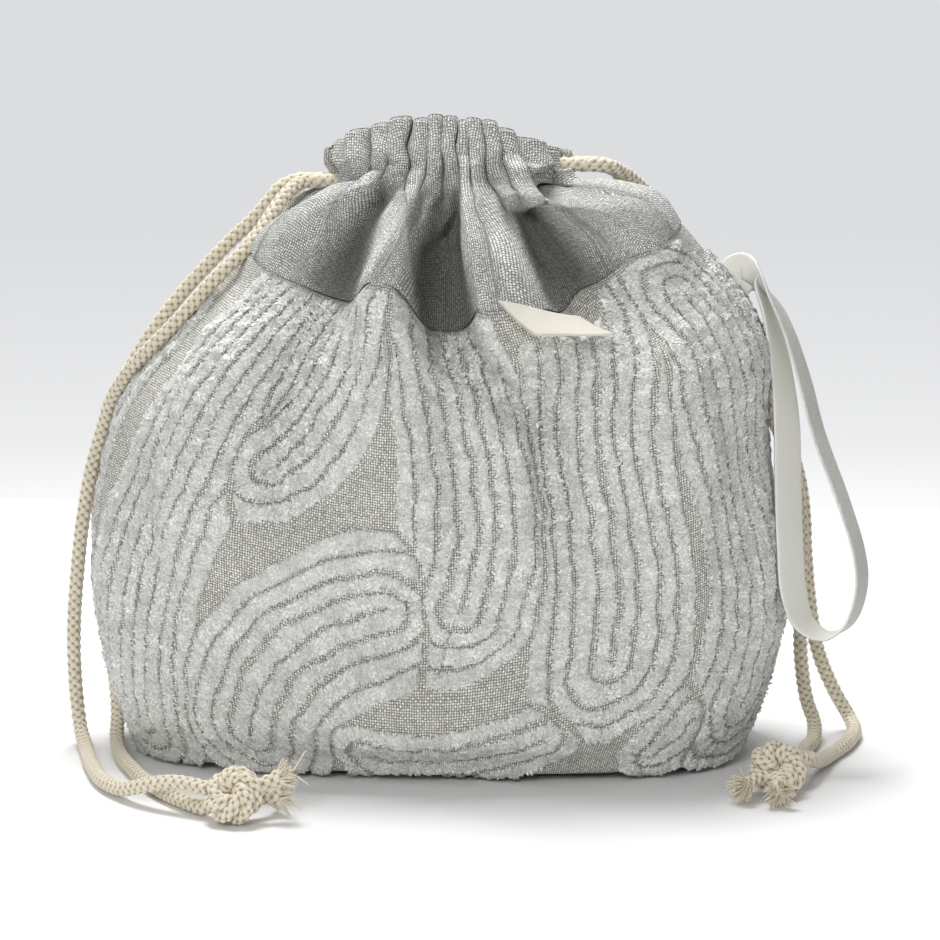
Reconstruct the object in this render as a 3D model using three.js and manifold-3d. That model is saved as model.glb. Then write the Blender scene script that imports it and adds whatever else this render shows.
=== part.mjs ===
// Drawstring project bag: a soft boxed-bottom pouch with a gathered neck, two drawcords,
// a wrist strap sewn into the right side seam and a folded label in the front band seam.
// Millimetres, +Z up, the front faces -Y, the origin is the middle of the base on the table.
import * as THREE from "three";
import { mergeVertices } from "three/addons/utils/BufferGeometryUtils.js";
import Module from "manifold-3d";

const wasm = await Module();
wasm.setup();

// Body sizes: half widths left and right of the middle, half depth and height at each level
const BASE_LEFT = 108;
const BASE_RIGHT = 104;
const BASE_HALF_DEPTH = 53;
const BELLY_LEFT = 121.5;
const BELLY_RIGHT = 121.5;
const BELLY_HALF_DEPTH = 64;
const BELLY_HEIGHT = 60;
const CHEST_LEFT = 113.5;
const CHEST_RIGHT = 115;
const CHEST_HALF_DEPTH = 62;
const CHEST_HEIGHT = 118;
const SHOULDER_LEFT = 93;
const SHOULDER_RIGHT = 111;
const SHOULDER_HALF_DEPTH = 55;
const SHOULDER_HEIGHT = 148;
const YOKE_LEFT = 64.5;
const YOKE_RIGHT = 87;
const YOKE_HALF_DEPTH = 42;
const YOKE_HEIGHT = 180;
const NECK_LEFT = 39;
const NECK_RIGHT = 45;
const NECK_HALF_DEPTH = 29;
const NECK_HEIGHT = 203;
const RIM_LEFT = 39.5;
const RIM_RIGHT = 42;
const RIM_HALF_DEPTH = 30;
const RIM_HEIGHT = 225;

// Squareness of the plan outline at the base and at the neck (2 is an ellipse)
const BODY_SQUARENESS = 2.8;
const NECK_SQUARENESS = 2.3;

// Cloth layers
const PANEL_THICKNESS = 3;
const BAND_THICKNESS = 1.6;
const FACING_THICKNESS = 1.2;
const LINING_THICKNESS = 1.2;
const LAYER_GAP = 0.6;
const FACING_GAP = 1;
const SEAM_GAP = 0.4;
const BAND_LENGTH = 68;
const HEADER_DROP = 3;
const BOTTOM_SEAM_Y = 4;
const BOTTOM_SEAM_INSET = 0.1;
const FLOOR_BLEND = 40;

// Gathers of the neck
const PLEATS = 22;
const PLEAT_DEPTH = 4;
const PLEAT_HOLD = 28;
const PLEAT_FADE = 60;
const POINTS_PER_PLEAT = 4;

// Main slack folds of the body below the band seam, as lines of points: x, z, half width and height.
// The back has the same ones mirrored and a little spread.
const BODY_FOLDS = [
  [[-13, 158, 10, 5], [-11, 128, 12, 6.5], [-8, 96, 14, 4.5], [-5, 62, 16, 0]],
  [[14, 148, 10, -4], [30, 130, 9, -5], [41, 116, 9, -5], [44, 90, 11, -4], [46, 64, 12, 0]],
  [[-41, 154, 8, 0], [-44, 138, 9, -4.5], [-46, 110, 11, -4.5], [-44, 80, 13, 0]],
  [[-60, 164, 8, 0], [-66, 150, 10, 5], [-74, 128, 12, 5], [-78, 96, 14, 3], [-80, 70, 16, 0]],
  [[76, 160, 8, 0], [80, 140, 10, 4], [84, 112, 13, 4], [88, 84, 15, 0]],
];
const FOLD_ROUNDNESS = 2.3;
const FOLD_FADE = 24;
const BACK_FOLD_SPREAD = 0.96;

// Drawcord and the channel that holds it
const CORD_DIAMETER = 5.2;
const CORD_SIDES = 8;
const CORD_LEVEL_SPLIT = 3;
const CORD_EXIT_SPREAD = 3.2;
const CORD_PULL = 8;
const CORD_CLEARANCE = 0.4;
const CORD_JOINT_GAP = 0.3;
const CHANNEL_HALF_HEIGHT = 8;
const LEG_HALF_SPACING = 18;
const SLOT_MARGIN = 0.6;
const SLOT_LENGTH = 40;

// Knots and cord tails
const KNOT_RADIUS = 5.4;
const KNOT_STRAND = 4.2;
const TAIL_FLARE = 1.35;
const TAIL_LENGTH = 15;
const STRAND_COLLAR = 0.4;
const KNOT_SETTLE = 0.3;
const FLOOR_CLEARANCE = 0.4;

// Wrist strap
const STRAP_WIDTH = 14;
const STRAP_THICKNESS = 1.4;
const STRAP_ROOT_HEIGHT = 166;
const STRAP_ROOT_GAP = 0.6;
const STRAP_ROOT_SPLIT = 1.15;
const STRAP_ROOT_REACH = 4;
const STRAP_STEPS = 44;

// Label
const LABEL_WIDTH = 28;
const LABEL_LENGTH = 17;
const LABEL_LEAF = 0.5;
const LABEL_SPLIT = 0.5;
const LABEL_CENTRE_X = 37;
const LABEL_DROOP = 0.62;
const LABEL_ROOT_GAP = 2.3;

// Mesh density
const PROFILE_SAMPLES = 160;
const PANEL_COLUMNS = 40;
const PANEL_ROWS = 8;
const BAND_ROWS = [0, 0.12, 0.22, 0.34, 0.52, 0.76, 1];

const LEVELS = [
  { z: 0, left: BASE_LEFT, right: BASE_RIGHT, depth: BASE_HALF_DEPTH, square: BODY_SQUARENESS },
  { z: BELLY_HEIGHT, left: BELLY_LEFT, right: BELLY_RIGHT, depth: BELLY_HALF_DEPTH, square: BODY_SQUARENESS },
  { z: CHEST_HEIGHT, left: CHEST_LEFT, right: CHEST_RIGHT, depth: CHEST_HALF_DEPTH, square: BODY_SQUARENESS },
  { z: SHOULDER_HEIGHT, left: SHOULDER_LEFT, right: SHOULDER_RIGHT, depth: SHOULDER_HALF_DEPTH, square: BODY_SQUARENESS },
  { z: YOKE_HEIGHT, left: YOKE_LEFT, right: YOKE_RIGHT, depth: YOKE_HALF_DEPTH, square: NECK_SQUARENESS },
  { z: NECK_HEIGHT, left: NECK_LEFT, right: NECK_RIGHT, depth: NECK_HALF_DEPTH, square: NECK_SQUARENESS },
  { z: RIM_HEIGHT, left: RIM_LEFT, right: RIM_RIGHT, depth: RIM_HALF_DEPTH, square: NECK_SQUARENESS },
];
const widthCurve = new THREE.CatmullRomCurve3(
  LEVELS.map((level) => new THREE.Vector3(level.left, level.right, level.z)), false, "catmullrom");
const depthCurve = new THREE.CatmullRomCurve3(
  LEVELS.map((level) => new THREE.Vector3(level.depth, level.square, level.z)), false, "catmullrom");

// Bag surface without gathers: t runs from the base edge (0) to the rim (1), angle 0 is the right
// side seam, a quarter turn is the front middle, half a turn is the left side seam.
function planPoint(t, angle) {
  const width = widthCurve.getPoint(t);
  const depth = depthCurve.getPoint(t);
  const c = Math.cos(angle);
  const s = Math.sin(angle);
  const halfWidth = c >= 0 ? width.y : width.x;
  const power = depth.y;
  const radius = Math.pow(Math.pow(Math.abs(c), power) + Math.pow(Math.abs(s), power), -1 / power);
  const slopeX = Math.sign(c) * Math.pow(Math.abs(radius * c), power - 1) / halfWidth;
  const slopeY = -Math.sign(s) * Math.pow(Math.abs(radius * s), power - 1) / depth.x;
  const normal = new THREE.Vector3(slopeX, slopeY, 0).normalize();
  return { point: new THREE.Vector3(halfWidth * radius * c, -depth.x * radius * s, width.z), normal };
}

// One column of the bag: the wall's length measured down from the rim at each sample
function makeColumn(angle) {
  const lengths = new Array(PROFILE_SAMPLES + 1);
  const points = new Array(PROFILE_SAMPLES + 1);
  for (let k = 0; k <= PROFILE_SAMPLES; k += 1) {
    points[k] = planPoint(1 - k / PROFILE_SAMPLES, angle).point;
    lengths[k] = k === 0 ? 0 : lengths[k - 1] + points[k].distanceTo(points[k - 1]);
  }
  return { angle, lengths, total: lengths[PROFILE_SAMPLES] };
}

function levelAtLength(column, length) {
  const wanted = Math.min(Math.max(length, 0), column.total);
  let k = 1;
  while (k < PROFILE_SAMPLES && column.lengths[k] < wanted) {
    k += 1;
  }
  const step = column.lengths[k] - column.lengths[k - 1];
  return 1 - (k - 1 + (wanted - column.lengths[k - 1]) / step) / PROFILE_SAMPLES;
}

// Gathers: full depth at the neck, fading out towards the band seam
function pleatHeight(angle, length) {
  const fade = 1 - THREE.MathUtils.smoothstep(length, PLEAT_HOLD, PLEAT_FADE);
  return PLEAT_DEPTH * fade * Math.cos(PLEATS * angle);
}

// Slack folds: a rounded bank across each fold's line, fading in below the band seam
function foldHeight(point, length) {
  const x = point.y < 0 ? point.x : -BACK_FOLD_SPREAD * point.x;
  let height = 0;
  for (const fold of BODY_FOLDS) {
    let nearest = { gap: Infinity, bank: 0 };
    for (let k = 0; k + 1 < fold.length; k += 1) {
      const [x0, z0, width0, height0] = fold[k];
      const [x1, z1, width1, height1] = fold[k + 1];
      const along = ((x - x0) * (x1 - x0) + (point.z - z0) * (z1 - z0)) / ((x1 - x0) ** 2 + (z1 - z0) ** 2);
      const share = THREE.MathUtils.clamp(along, 0, 1);
      const gap = Math.hypot(x - THREE.MathUtils.lerp(x0, x1, share), point.z - THREE.MathUtils.lerp(z0, z1, share));
      if (gap < nearest.gap) {
        const width = THREE.MathUtils.lerp(width0, width1, share);
        const bank = THREE.MathUtils.lerp(height0, height1, share) * Math.exp(-Math.pow(gap / width, FOLD_ROUNDNESS));
        nearest = { gap, bank };
      }
    }
    height += nearest.bank;
  }
  return height * THREE.MathUtils.smoothstep(length, BAND_LENGTH, BAND_LENGTH + FOLD_FADE);
}

// Point of a cloth layer that lies a set depth under the outer surface, thickness kept on slopes
function layerPoint(column, length, depth) {
  const t = levelAtLength(column, length);
  const { point, normal } = planPoint(t, column.angle);
  const rise = 0.004;
  const above = planPoint(Math.min(t + rise, 1), column.angle).point;
  const below = planPoint(Math.max(t - rise, 0), column.angle).point;
  const along = above.sub(below).normalize();
  const steep = Math.max(Math.abs(along.z), 0.45);
  const lift = point.z < FLOOR_BLEND ? depth * (1 - point.z / FLOOR_BLEND) : 0;
  const shift = pleatHeight(column.angle, length) + foldHeight(point, length) - depth / steep;
  return point.addScaledVector(normal, shift).setZ(point.z + lift);
}

// Closed solid between an outer and an inner grid of points with the same rows and columns
function sheetGeometry(outer, inner) {
  const rows = outer.length;
  const columns = outer[0].length;
  const positions = [];
  for (const grid of [outer, inner]) {
    for (const row of grid) {
      for (const p of row) {
        positions.push(p.x, p.y, p.z);
      }
    }
  }
  const at = (side, i, j) => (side * rows + i) * columns + j;
  const index = [];
  const quad = (a, b, c, d) => index.push(a, b, c, a, c, d);
  for (let i = 0; i + 1 < rows; i += 1) {
    for (let j = 0; j + 1 < columns; j += 1) {
      quad(at(0, i, j), at(0, i, j + 1), at(0, i + 1, j + 1), at(0, i + 1, j));
      quad(at(1, i, j), at(1, i + 1, j), at(1, i + 1, j + 1), at(1, i, j + 1));
    }
  }
  const last = columns - 1;
  for (let i = 0; i + 1 < rows; i += 1) {
    quad(at(0, i, 0), at(0, i + 1, 0), at(1, i + 1, 0), at(1, i, 0));
    quad(at(0, i + 1, last), at(0, i, last), at(1, i, last), at(1, i + 1, last));
  }
  const foot = rows - 1;
  for (let j = 0; j < last; j += 1) {
    quad(at(0, 0, j + 1), at(0, 0, j), at(1, 0, j), at(1, 0, j + 1));
    quad(at(0, foot, j), at(0, foot, j + 1), at(1, foot, j + 1), at(1, foot, j));
  }
  const geometry = new THREE.BufferGeometry();
  geometry.setAttribute("position", new THREE.Float32BufferAttribute(positions, 3));
  geometry.setIndex(signedVolume(positions, index) < 0 ? flipped(index) : index);
  return geometry;
}

function signedVolume(positions, index) {
  const a = new THREE.Vector3();
  const b = new THREE.Vector3();
  const c = new THREE.Vector3();
  let volume = 0;
  for (let k = 0; k < index.length; k += 3) {
    a.fromArray(positions, 3 * index[k]);
    b.fromArray(positions, 3 * index[k + 1]);
    c.fromArray(positions, 3 * index[k + 2]);
    volume += a.dot(b.cross(c)) / 6;
  }
  return volume;
}

function flipped(index) {
  const result = [];
  for (let k = 0; k < index.length; k += 3) {
    result.push(index[k], index[k + 2], index[k + 1]);
  }
  return result;
}

// Solid unions and cuts
function toManifold(geometry) {
  const bare = geometry.clone();
  bare.deleteAttribute("normal");
  bare.deleteAttribute("uv");
  const welded = mergeVertices(bare, 1e-4);
  return new wasm.Manifold(new wasm.Mesh({
    numProp: 3,
    vertProperties: new Float32Array(welded.attributes.position.array),
    triVerts: new Uint32Array(welded.index.array),
  }));
}

function fromManifold(solid) {
  const mesh = solid.getMesh();
  const geometry = new THREE.BufferGeometry();
  geometry.setAttribute("position", new THREE.Float32BufferAttribute(mesh.vertProperties, 3));
  geometry.setIndex(Array.from(mesh.triVerts));
  return geometry;
}

// Columns of one half of the bag; the half is moved off the side seams by half the seam gap
function halfColumns(isFront, count) {
  const start = isFront ? 0 : Math.PI;
  return Array.from({ length: count + 1 }, (_, j) => makeColumn(start + Math.PI * j / count));
}

function offSeam(isFront, grid) {
  const shift = isFront ? -SEAM_GAP / 2 : SEAM_GAP / 2;
  return grid.map((row) => row.map((p) => p.setY(p.y + shift)));
}

// Body panel layer: wall rows from the band seam to the base edge, then the base to the bottom seam
function bodyGrid(isFront, columns, rows, depth) {
  const grid = [];
  for (let i = 0; i <= rows; i += 1) {
    grid.push(columns.map((column) => {
      const start = BAND_LENGTH + SEAM_GAP / 2;
      return layerPoint(column, start + (column.total - start) * i / rows, depth);
    }));
  }
  const edge = grid[rows];
  for (const share of [0.5, 1]) {
    grid.push(edge.map((p) => new THREE.Vector3(
      p.x * (1 - BOTTOM_SEAM_INSET * share), THREE.MathUtils.lerp(p.y, BOTTOM_SEAM_Y, share), p.z)));
  }
  return offSeam(isFront, grid);
}

function bodyLayer(isFront, columnCount, rows, depth, thickness) {
  const columns = halfColumns(isFront, columnCount);
  const outer = bodyGrid(isFront, columns, rows, depth);
  const inner = bodyGrid(isFront, columns, rows, depth + thickness);
  return sheetGeometry(outer, inner);
}

// Upper band with its gathers, cut at the side seams where a drawcord comes out
function bandGrid(isFront, columns, depth) {
  return offSeam(isFront, BAND_ROWS.map((share) => columns.map((column) =>
    layerPoint(column, share * (BAND_LENGTH - SEAM_GAP / 2), depth))));
}

const PLEAT_COLUMNS = PLEATS * POINTS_PER_PLEAT / 2;
const LEFT_CORD_Z = NECK_HEIGHT - CORD_LEVEL_SPLIT;
const RIGHT_CORD_Z = NECK_HEIGHT + CORD_LEVEL_SPLIT;

function slotCutter(side, z) {
  const halfHeight = CORD_DIAMETER / 2 + SLOT_MARGIN;
  const halfSpread = CORD_EXIT_SPREAD;
  const outline = new THREE.Shape();
  outline.absarc(halfSpread, 0, halfHeight, -Math.PI / 2, Math.PI / 2, false);
  outline.absarc(-halfSpread, 0, halfHeight, Math.PI / 2, 3 * Math.PI / 2, false);
  const geometry = new THREE.ExtrudeGeometry(outline, { depth: SLOT_LENGTH, bevelEnabled: false, curveSegments: 5 });
  geometry.rotateX(Math.PI / 2);
  geometry.rotateZ(Math.PI / 2);
  geometry.translate(side < 0 ? -NECK_LEFT - SLOT_LENGTH / 2 : NECK_RIGHT - SLOT_LENGTH / 2, 0, z);
  return toManifold(geometry);
}

const exitSlots = slotCutter(-1, LEFT_CORD_Z).add(slotCutter(1, RIGHT_CORD_Z));

function bandLayer(isFront) {
  const columns = halfColumns(isFront, PLEAT_COLUMNS);
  const sheet = sheetGeometry(bandGrid(isFront, columns, 0), bandGrid(isFront, columns, BAND_THICKNESS));
  return fromManifold(toManifold(sheet).subtract(exitSlots));
}

// Facing: the band's inner layer, drawn in to a throat so that a channel is left for the cords
const THROAT_HALF_DEPTH = LEG_HALF_SPACING - CORD_DIAMETER / 2 - CORD_CLEARANCE;
const CHANNEL_REACH = Math.min(NECK_LEFT, NECK_RIGHT) - PLEAT_DEPTH - BAND_THICKNESS - CORD_CLEARANCE - CORD_DIAMETER / 2;
const THROAT_HALF_WIDTH = CHANNEL_REACH - CORD_DIAMETER / 2 - CORD_CLEARANCE - CORD_PULL;

function throatPoint(angle, z, depth) {
  return new THREE.Vector3(
    (THROAT_HALF_WIDTH - depth) * Math.cos(angle), -(THROAT_HALF_DEPTH - depth) * Math.sin(angle), z);
}

function facingGrid(isFront, columns, depth) {
  const under = BAND_THICKNESS + FACING_GAP + depth;
  const top = columns.map((column) => layerPoint(column, HEADER_DROP, under));
  const throatTop = columns.map((column) => throatPoint(column.angle, NECK_HEIGHT + CHANNEL_HALF_HEIGHT, depth));
  const throatFoot = columns.map((column) => throatPoint(column.angle, NECK_HEIGHT - CHANNEL_HALF_HEIGHT, depth));
  const foot = columns.map((column) => layerPoint(column, BAND_LENGTH - SEAM_GAP / 2, under));
  return offSeam(isFront, [top, throatTop, throatFoot, foot]);
}

function facingLayer(isFront) {
  const columns = halfColumns(isFront, PLEAT_COLUMNS);
  return sheetGeometry(facingGrid(isFront, columns, 0), facingGrid(isFront, columns, FACING_THICKNESS));
}

// Cords: an eight-sided tube along a smooth route
function cordGeometry(route, steps) {
  const curve = new THREE.CatmullRomCurve3(route.map((p) => new THREE.Vector3(...p)), false, "centripetal");
  const corners = Array.from({ length: CORD_SIDES }, (_, k) => {
    const turn = 2 * Math.PI * (k + 0.5) / CORD_SIDES;
    return new THREE.Vector2(Math.cos(turn), Math.sin(turn)).multiplyScalar(CORD_DIAMETER / 2);
  });
  return new THREE.ExtrudeGeometry(new THREE.Shape(corners), { steps, extrudePath: curve, bevelEnabled: false });
}

// Channel part of a drawcord: out of the side slot, along the front, round the far end and back
const EXIT_X_LEFT = NECK_LEFT + PLEAT_DEPTH;
const EXIT_X_RIGHT = NECK_RIGHT + PLEAT_DEPTH;
const LEG_MERGE_SHARE = 0.62;
const LEG_START_SHARE = 0.26;

function channelRoute(side, exitX, z) {
  const spread = CORD_EXIT_SPREAD;
  const turnX = CHANNEL_REACH - LEG_HALF_SPACING;
  const nearHalf = [
    [exitX, spread],
    [exitX * (LEG_MERGE_SHARE + 0.16), spread],
    [exitX * LEG_MERGE_SHARE, spread + 0.5],
    [exitX * (LEG_MERGE_SHARE + LEG_START_SHARE) / 2, (spread + LEG_HALF_SPACING) / 2],
    [exitX * LEG_START_SHARE, LEG_HALF_SPACING - 0.5],
    [0, LEG_HALF_SPACING],
    [-turnX, LEG_HALF_SPACING],
    [-turnX - LEG_HALF_SPACING * Math.SQRT1_2, LEG_HALF_SPACING * Math.SQRT1_2],
  ];
  const front = nearHalf.map(([x, y]) => [side * x, -y, z]);
  const back = nearHalf.map(([x, y]) => [side * x, y, z]).reverse();
  return [...front, [side * (-turnX - LEG_HALF_SPACING), 0, z], ...back];
}

// Knots: where they lie on the table and the way each strand leaves them
const KNOT_REACH = KNOT_RADIUS + KNOT_STRAND;
const LEFT_KNOT = {
  centre: [-59, -110, KNOT_REACH - KNOT_SETTLE],
  heading: -0.7,
  frontRun: [-0.86, 0.5, 0.06],
  backRun: [-0.74, 0.5, -0.42],
  frontTail: [0.75, 0.62, -0.19],
  backTail: [0.92, 0.2, 0.34],
};
const RIGHT_KNOT = {
  centre: [116.5, -62, KNOT_REACH - KNOT_SETTLE],
  heading: -1.4,
  frontRun: [0.16, 0.92, -0.35],
  backRun: [0.62, 0.76, 0.04],
  frontTail: [0.02, -0.98, -0.19],
  backTail: [-0.66, -0.72, -0.19],
};

function knotPoint(knot, strand, distance) {
  const way = new THREE.Vector3(...knot[strand]).normalize();
  return new THREE.Vector3(...knot.centre).addScaledVector(way, distance).toArray();
}

const STRAND_FACE = KNOT_REACH + STRAND_COLLAR;
const STRAND_END = STRAND_FACE + CORD_JOINT_GAP;

// Free cord runs, from the side slots over the shoulders to the knots on the table
const LEFT_START = -EXIT_X_LEFT - CORD_JOINT_GAP;
const RIGHT_START = EXIT_X_RIGHT + CORD_JOINT_GAP;
const FLOOR_Z = CORD_DIAMETER / 2 + FLOOR_CLEARANCE;

const LEFT_FRONT_ROUTE = [
  [LEFT_START, -CORD_EXIT_SPREAD, LEFT_CORD_Z],
  [LEFT_START - 3, -CORD_EXIT_SPREAD, LEFT_CORD_Z],
  [LEFT_START - 6.4, -4.8, LEFT_CORD_Z - 1.2],
  [-53.6, -9.2, 195.2],
  [-57.2, -14.4, 189.8],
  [-61.2, -19, 183.4],
  [-66.4, -22.8, 177],
  [-72.4, -25.2, 171.2],
  [-79.2, -26, 164.4],
  [-86.2, -26, 156.4],
  [-93, -25.4, 149.4],
  [-101.2, -22.4, 141.4],
  [-109, -16.4, 132.8],
  [-114.8, -10.8, 124],
  [-118.6, -7, 114],
  [-123, -5.4, 100],
  [-127, -5, 80],
  [-129, -5, 64],
  [-130.5, -5, 48],
  [-131, -5, 32],
  [-130, -6, 15],
  [-128, -10.6, 6.6],
  [-123.6, -24, FLOOR_Z],
  [-117, -48, FLOOR_Z],
  [-109, -70, FLOOR_Z],
  [-100, -83.6, 4],
  [-90.5, -92.4, 7.6],
  [-81.5, -97.6, 10.2],
  knotPoint(LEFT_KNOT, "frontRun", STRAND_END + 6),
  knotPoint(LEFT_KNOT, "frontRun", STRAND_END),
];
const LEFT_BACK_ROUTE = [
  [LEFT_START, CORD_EXIT_SPREAD, LEFT_CORD_Z],
  [LEFT_START - 3, CORD_EXIT_SPREAD, LEFT_CORD_Z],
  [LEFT_START - 7, 2.8, LEFT_CORD_Z],
  [-56.4, 1.4, 197.4],
  [-61, 0.2, 192],
  [-66.4, 0, 186],
  [-72.4, 0, 180.5],
  [-83.4, 0, 169.2],
  [-93.4, 0, 158],
  [-102, 0.4, 146.7],
  [-109.6, 1.6, 135],
  [-115.4, 3.6, 123.6],
  [-119.6, 6, 111],
  [-123, 9, 96],
  [-124.8, 13, 80],
  [-125.2, 16, 64],
  [-123.6, 16, 46],
  [-120.6, 12, 29],
  [-117, 2, 12],
  [-114.6, -13, 4],
  [-109, -35, FLOOR_Z],
  [-102, -53, FLOOR_Z],
  [-95, -68.5, FLOOR_Z],
  [-87, -82, FLOOR_Z],
  [-79, -93, FLOOR_Z + 0.2],
  knotPoint(LEFT_KNOT, "backRun", STRAND_END + 4),
  knotPoint(LEFT_KNOT, "backRun", STRAND_END),
];
const RIGHT_FRONT_ROUTE = [
  [RIGHT_START, -CORD_EXIT_SPREAD, RIGHT_CORD_Z],
  [RIGHT_START + 3, -CORD_EXIT_SPREAD, RIGHT_CORD_Z],
  [RIGHT_START + 7.4, -1.6, RIGHT_CORD_Z - 0.6],
  [61.6, 3.6, 203.2],
  [66, 10.6, 199.4],
  [70.6, 18, 194.6],
  [75.6, 25, 188.4],
  [81.6, 30.2, 180.8],
  [88.6, 32.6, 172],
  [95.4, 33.4, 163.6],
  [101.4, 33.6, 154.6],
  [106.4, 34, 145],
  [109.8, 34.4, 134.6],
  [112.4, 34, 123.8],
  [116, 31.4, 113.4],
  [120.6, 26.4, 103.4],
  [124, 20.8, 91.6],
  [125.6, 17.6, 80],
  [126, 16.5, 68],
  [126, 17.5, 48],
  [126.6, 21, 29],
  [129, 24.6, 13],
  [131.4, 19.6, 6.8],
  [130.8, 5, FLOOR_Z + 0.2],
  [127.6, -8, FLOOR_Z],
  [123.4, -28, FLOOR_Z],
  knotPoint(RIGHT_KNOT, "frontRun", STRAND_END + 6),
  knotPoint(RIGHT_KNOT, "frontRun", STRAND_END),
];
const RIGHT_BACK_ROUTE = [
  [RIGHT_START, CORD_EXIT_SPREAD, RIGHT_CORD_Z],
  [RIGHT_START + 3, CORD_EXIT_SPREAD, RIGHT_CORD_Z],
  [RIGHT_START + 6, 4.6, RIGHT_CORD_Z - 0.4],
  [58.8, 9, 203.8],
  [62, 14.8, 200],
  [66, 21.6, 195],
  [71.6, 29, 188.6],
  [79, 35, 180.8],
  [87.6, 38.8, 172],
  [94.8, 39.6, 163.6],
  [101.2, 39.8, 154.6],
  [106.4, 40.2, 145],
  [110, 40.6, 134.6],
  [113, 40.2, 123.8],
  [117.2, 37.6, 113.4],
  [122, 32.6, 103.4],
  [125.4, 27, 91.6],
  [127, 23.8, 80],
  [127.6, 22.8, 68],
  [129.6, 24, 48],
  [133, 28, 30],
  [139, 33, 15],
  [144.6, 32, 5.4],
  [146, 20, FLOOR_Z],
  [142.6, 2, FLOOR_Z],
  [136, -16, FLOOR_Z],
  [131, -34, 5],
  knotPoint(RIGHT_KNOT, "backRun", STRAND_END + 5),
  knotPoint(RIGHT_KNOT, "backRun", STRAND_END),
];

// Knot body: three turns of doubled cord pulled into one lump, with a collar where each strand leaves
function knotGeometry(knot) {
  const turns = [[0.35, 0.2], [0.35, 1.25], [-1.1, 0.7]].map(([tilt, swing]) => {
    const ring = new THREE.TorusGeometry(KNOT_RADIUS, KNOT_STRAND, 6, 11);
    ring.rotateX(tilt);
    ring.rotateY(swing);
    ring.rotateZ(knot.heading);
    return toManifold(ring);
  });
  const core = toManifold(new THREE.SphereGeometry(KNOT_RADIUS, 10, 6));
  const collars = ["frontRun", "backRun", "frontTail", "backTail"].map((strand) => {
    const collar = new THREE.CylinderGeometry(CORD_DIAMETER / 2, CORD_DIAMETER / 2, STRAND_FACE, CORD_SIDES);
    collar.translate(0, STRAND_FACE / 2, 0);
    collar.applyQuaternion(new THREE.Quaternion().setFromUnitVectors(
      new THREE.Vector3(0, 1, 0), new THREE.Vector3(...knot[strand]).normalize()));
    return toManifold(collar);
  });
  const geometry = fromManifold([...turns, ...collars].reduce((sum, piece) => sum.add(piece), core));
  geometry.translate(...knot.centre);
  return geometry;
}

// Cord tails: short straight ends that spread where the yarn is frayed
function tailGeometry(knot, strand) {
  const radius = CORD_DIAMETER / 2;
  const profile = [
    new THREE.Vector2(0, 0),
    new THREE.Vector2(radius, 0),
    new THREE.Vector2(radius, TAIL_LENGTH * 0.6),
    new THREE.Vector2(radius * TAIL_FLARE, TAIL_LENGTH),
    new THREE.Vector2(0, TAIL_LENGTH),
  ];
  const start = knotPoint(knot, strand, STRAND_END);
  const way = new THREE.Vector3(...knot[strand]).normalize();
  const geometry = new THREE.LatheGeometry(profile, 10);
  geometry.applyQuaternion(new THREE.Quaternion().setFromUnitVectors(new THREE.Vector3(0, 1, 0), way));
  geometry.translate(...start);
  return geometry;
}

// Wrist strap: a ribbon from the right side seam, down, round and back to the seam.
// Rows: distance out from the bag's side, Y, drop below the root, then the ribbon's width direction.
const STRAP_ROWS = [
  [8.6, 0.8, 2.2, 0.3, 0.85, -0.3],
  [6.6, -0.8, 12, 0.55, 0.83, 0.15],
  [5.8, -4, 28, 0.6, 0.8, 0.08],
  [5.5, -8, 47, 0.62, 0.78, 0],
  [5, -12, 68, 0.62, 0.78, 0],
  [4.6, -16, 88, 0.62, 0.78, 0],
  [5.6, -19, 104, 0.6, 0.8, 0],
  [9.6, -20.5, 114.5, 0.52, 0.85, 0],
  [16.2, -21, 118.4, 0.4, 0.92, 0],
  [22.6, -20.5, 114, 0.36, 0.93, 0],
  [25.8, -19, 103, 0.38, 0.92, 0],
  [25.6, -16.5, 91, 0.4, 0.92, 0],
  [22.2, -13, 74, 0.42, 0.91, 0],
  [16.8, -9.5, 52, 0.44, 0.9, 0.05],
  [13.2, -7, 34, 0.44, 0.9, 0.08],
  [11.6, -5, 15, 0.42, 0.9, 0.12],
  [12, -3.6, 2, 0.25, 0.85, -0.35],
];

function sideSeamAt(z) {
  let low = 0;
  let high = 1;
  for (let k = 0; k < 40; k += 1) {
    const middle = (low + high) / 2;
    if (planPoint(middle, 0).point.z < z) {
      low = middle;
    } else {
      high = middle;
    }
  }
  const step = 0.01;
  const along = planPoint(low + step, 0).point.sub(planPoint(low - step, 0).point).normalize();
  return { point: planPoint(low, 0).point, along };
}

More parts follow.
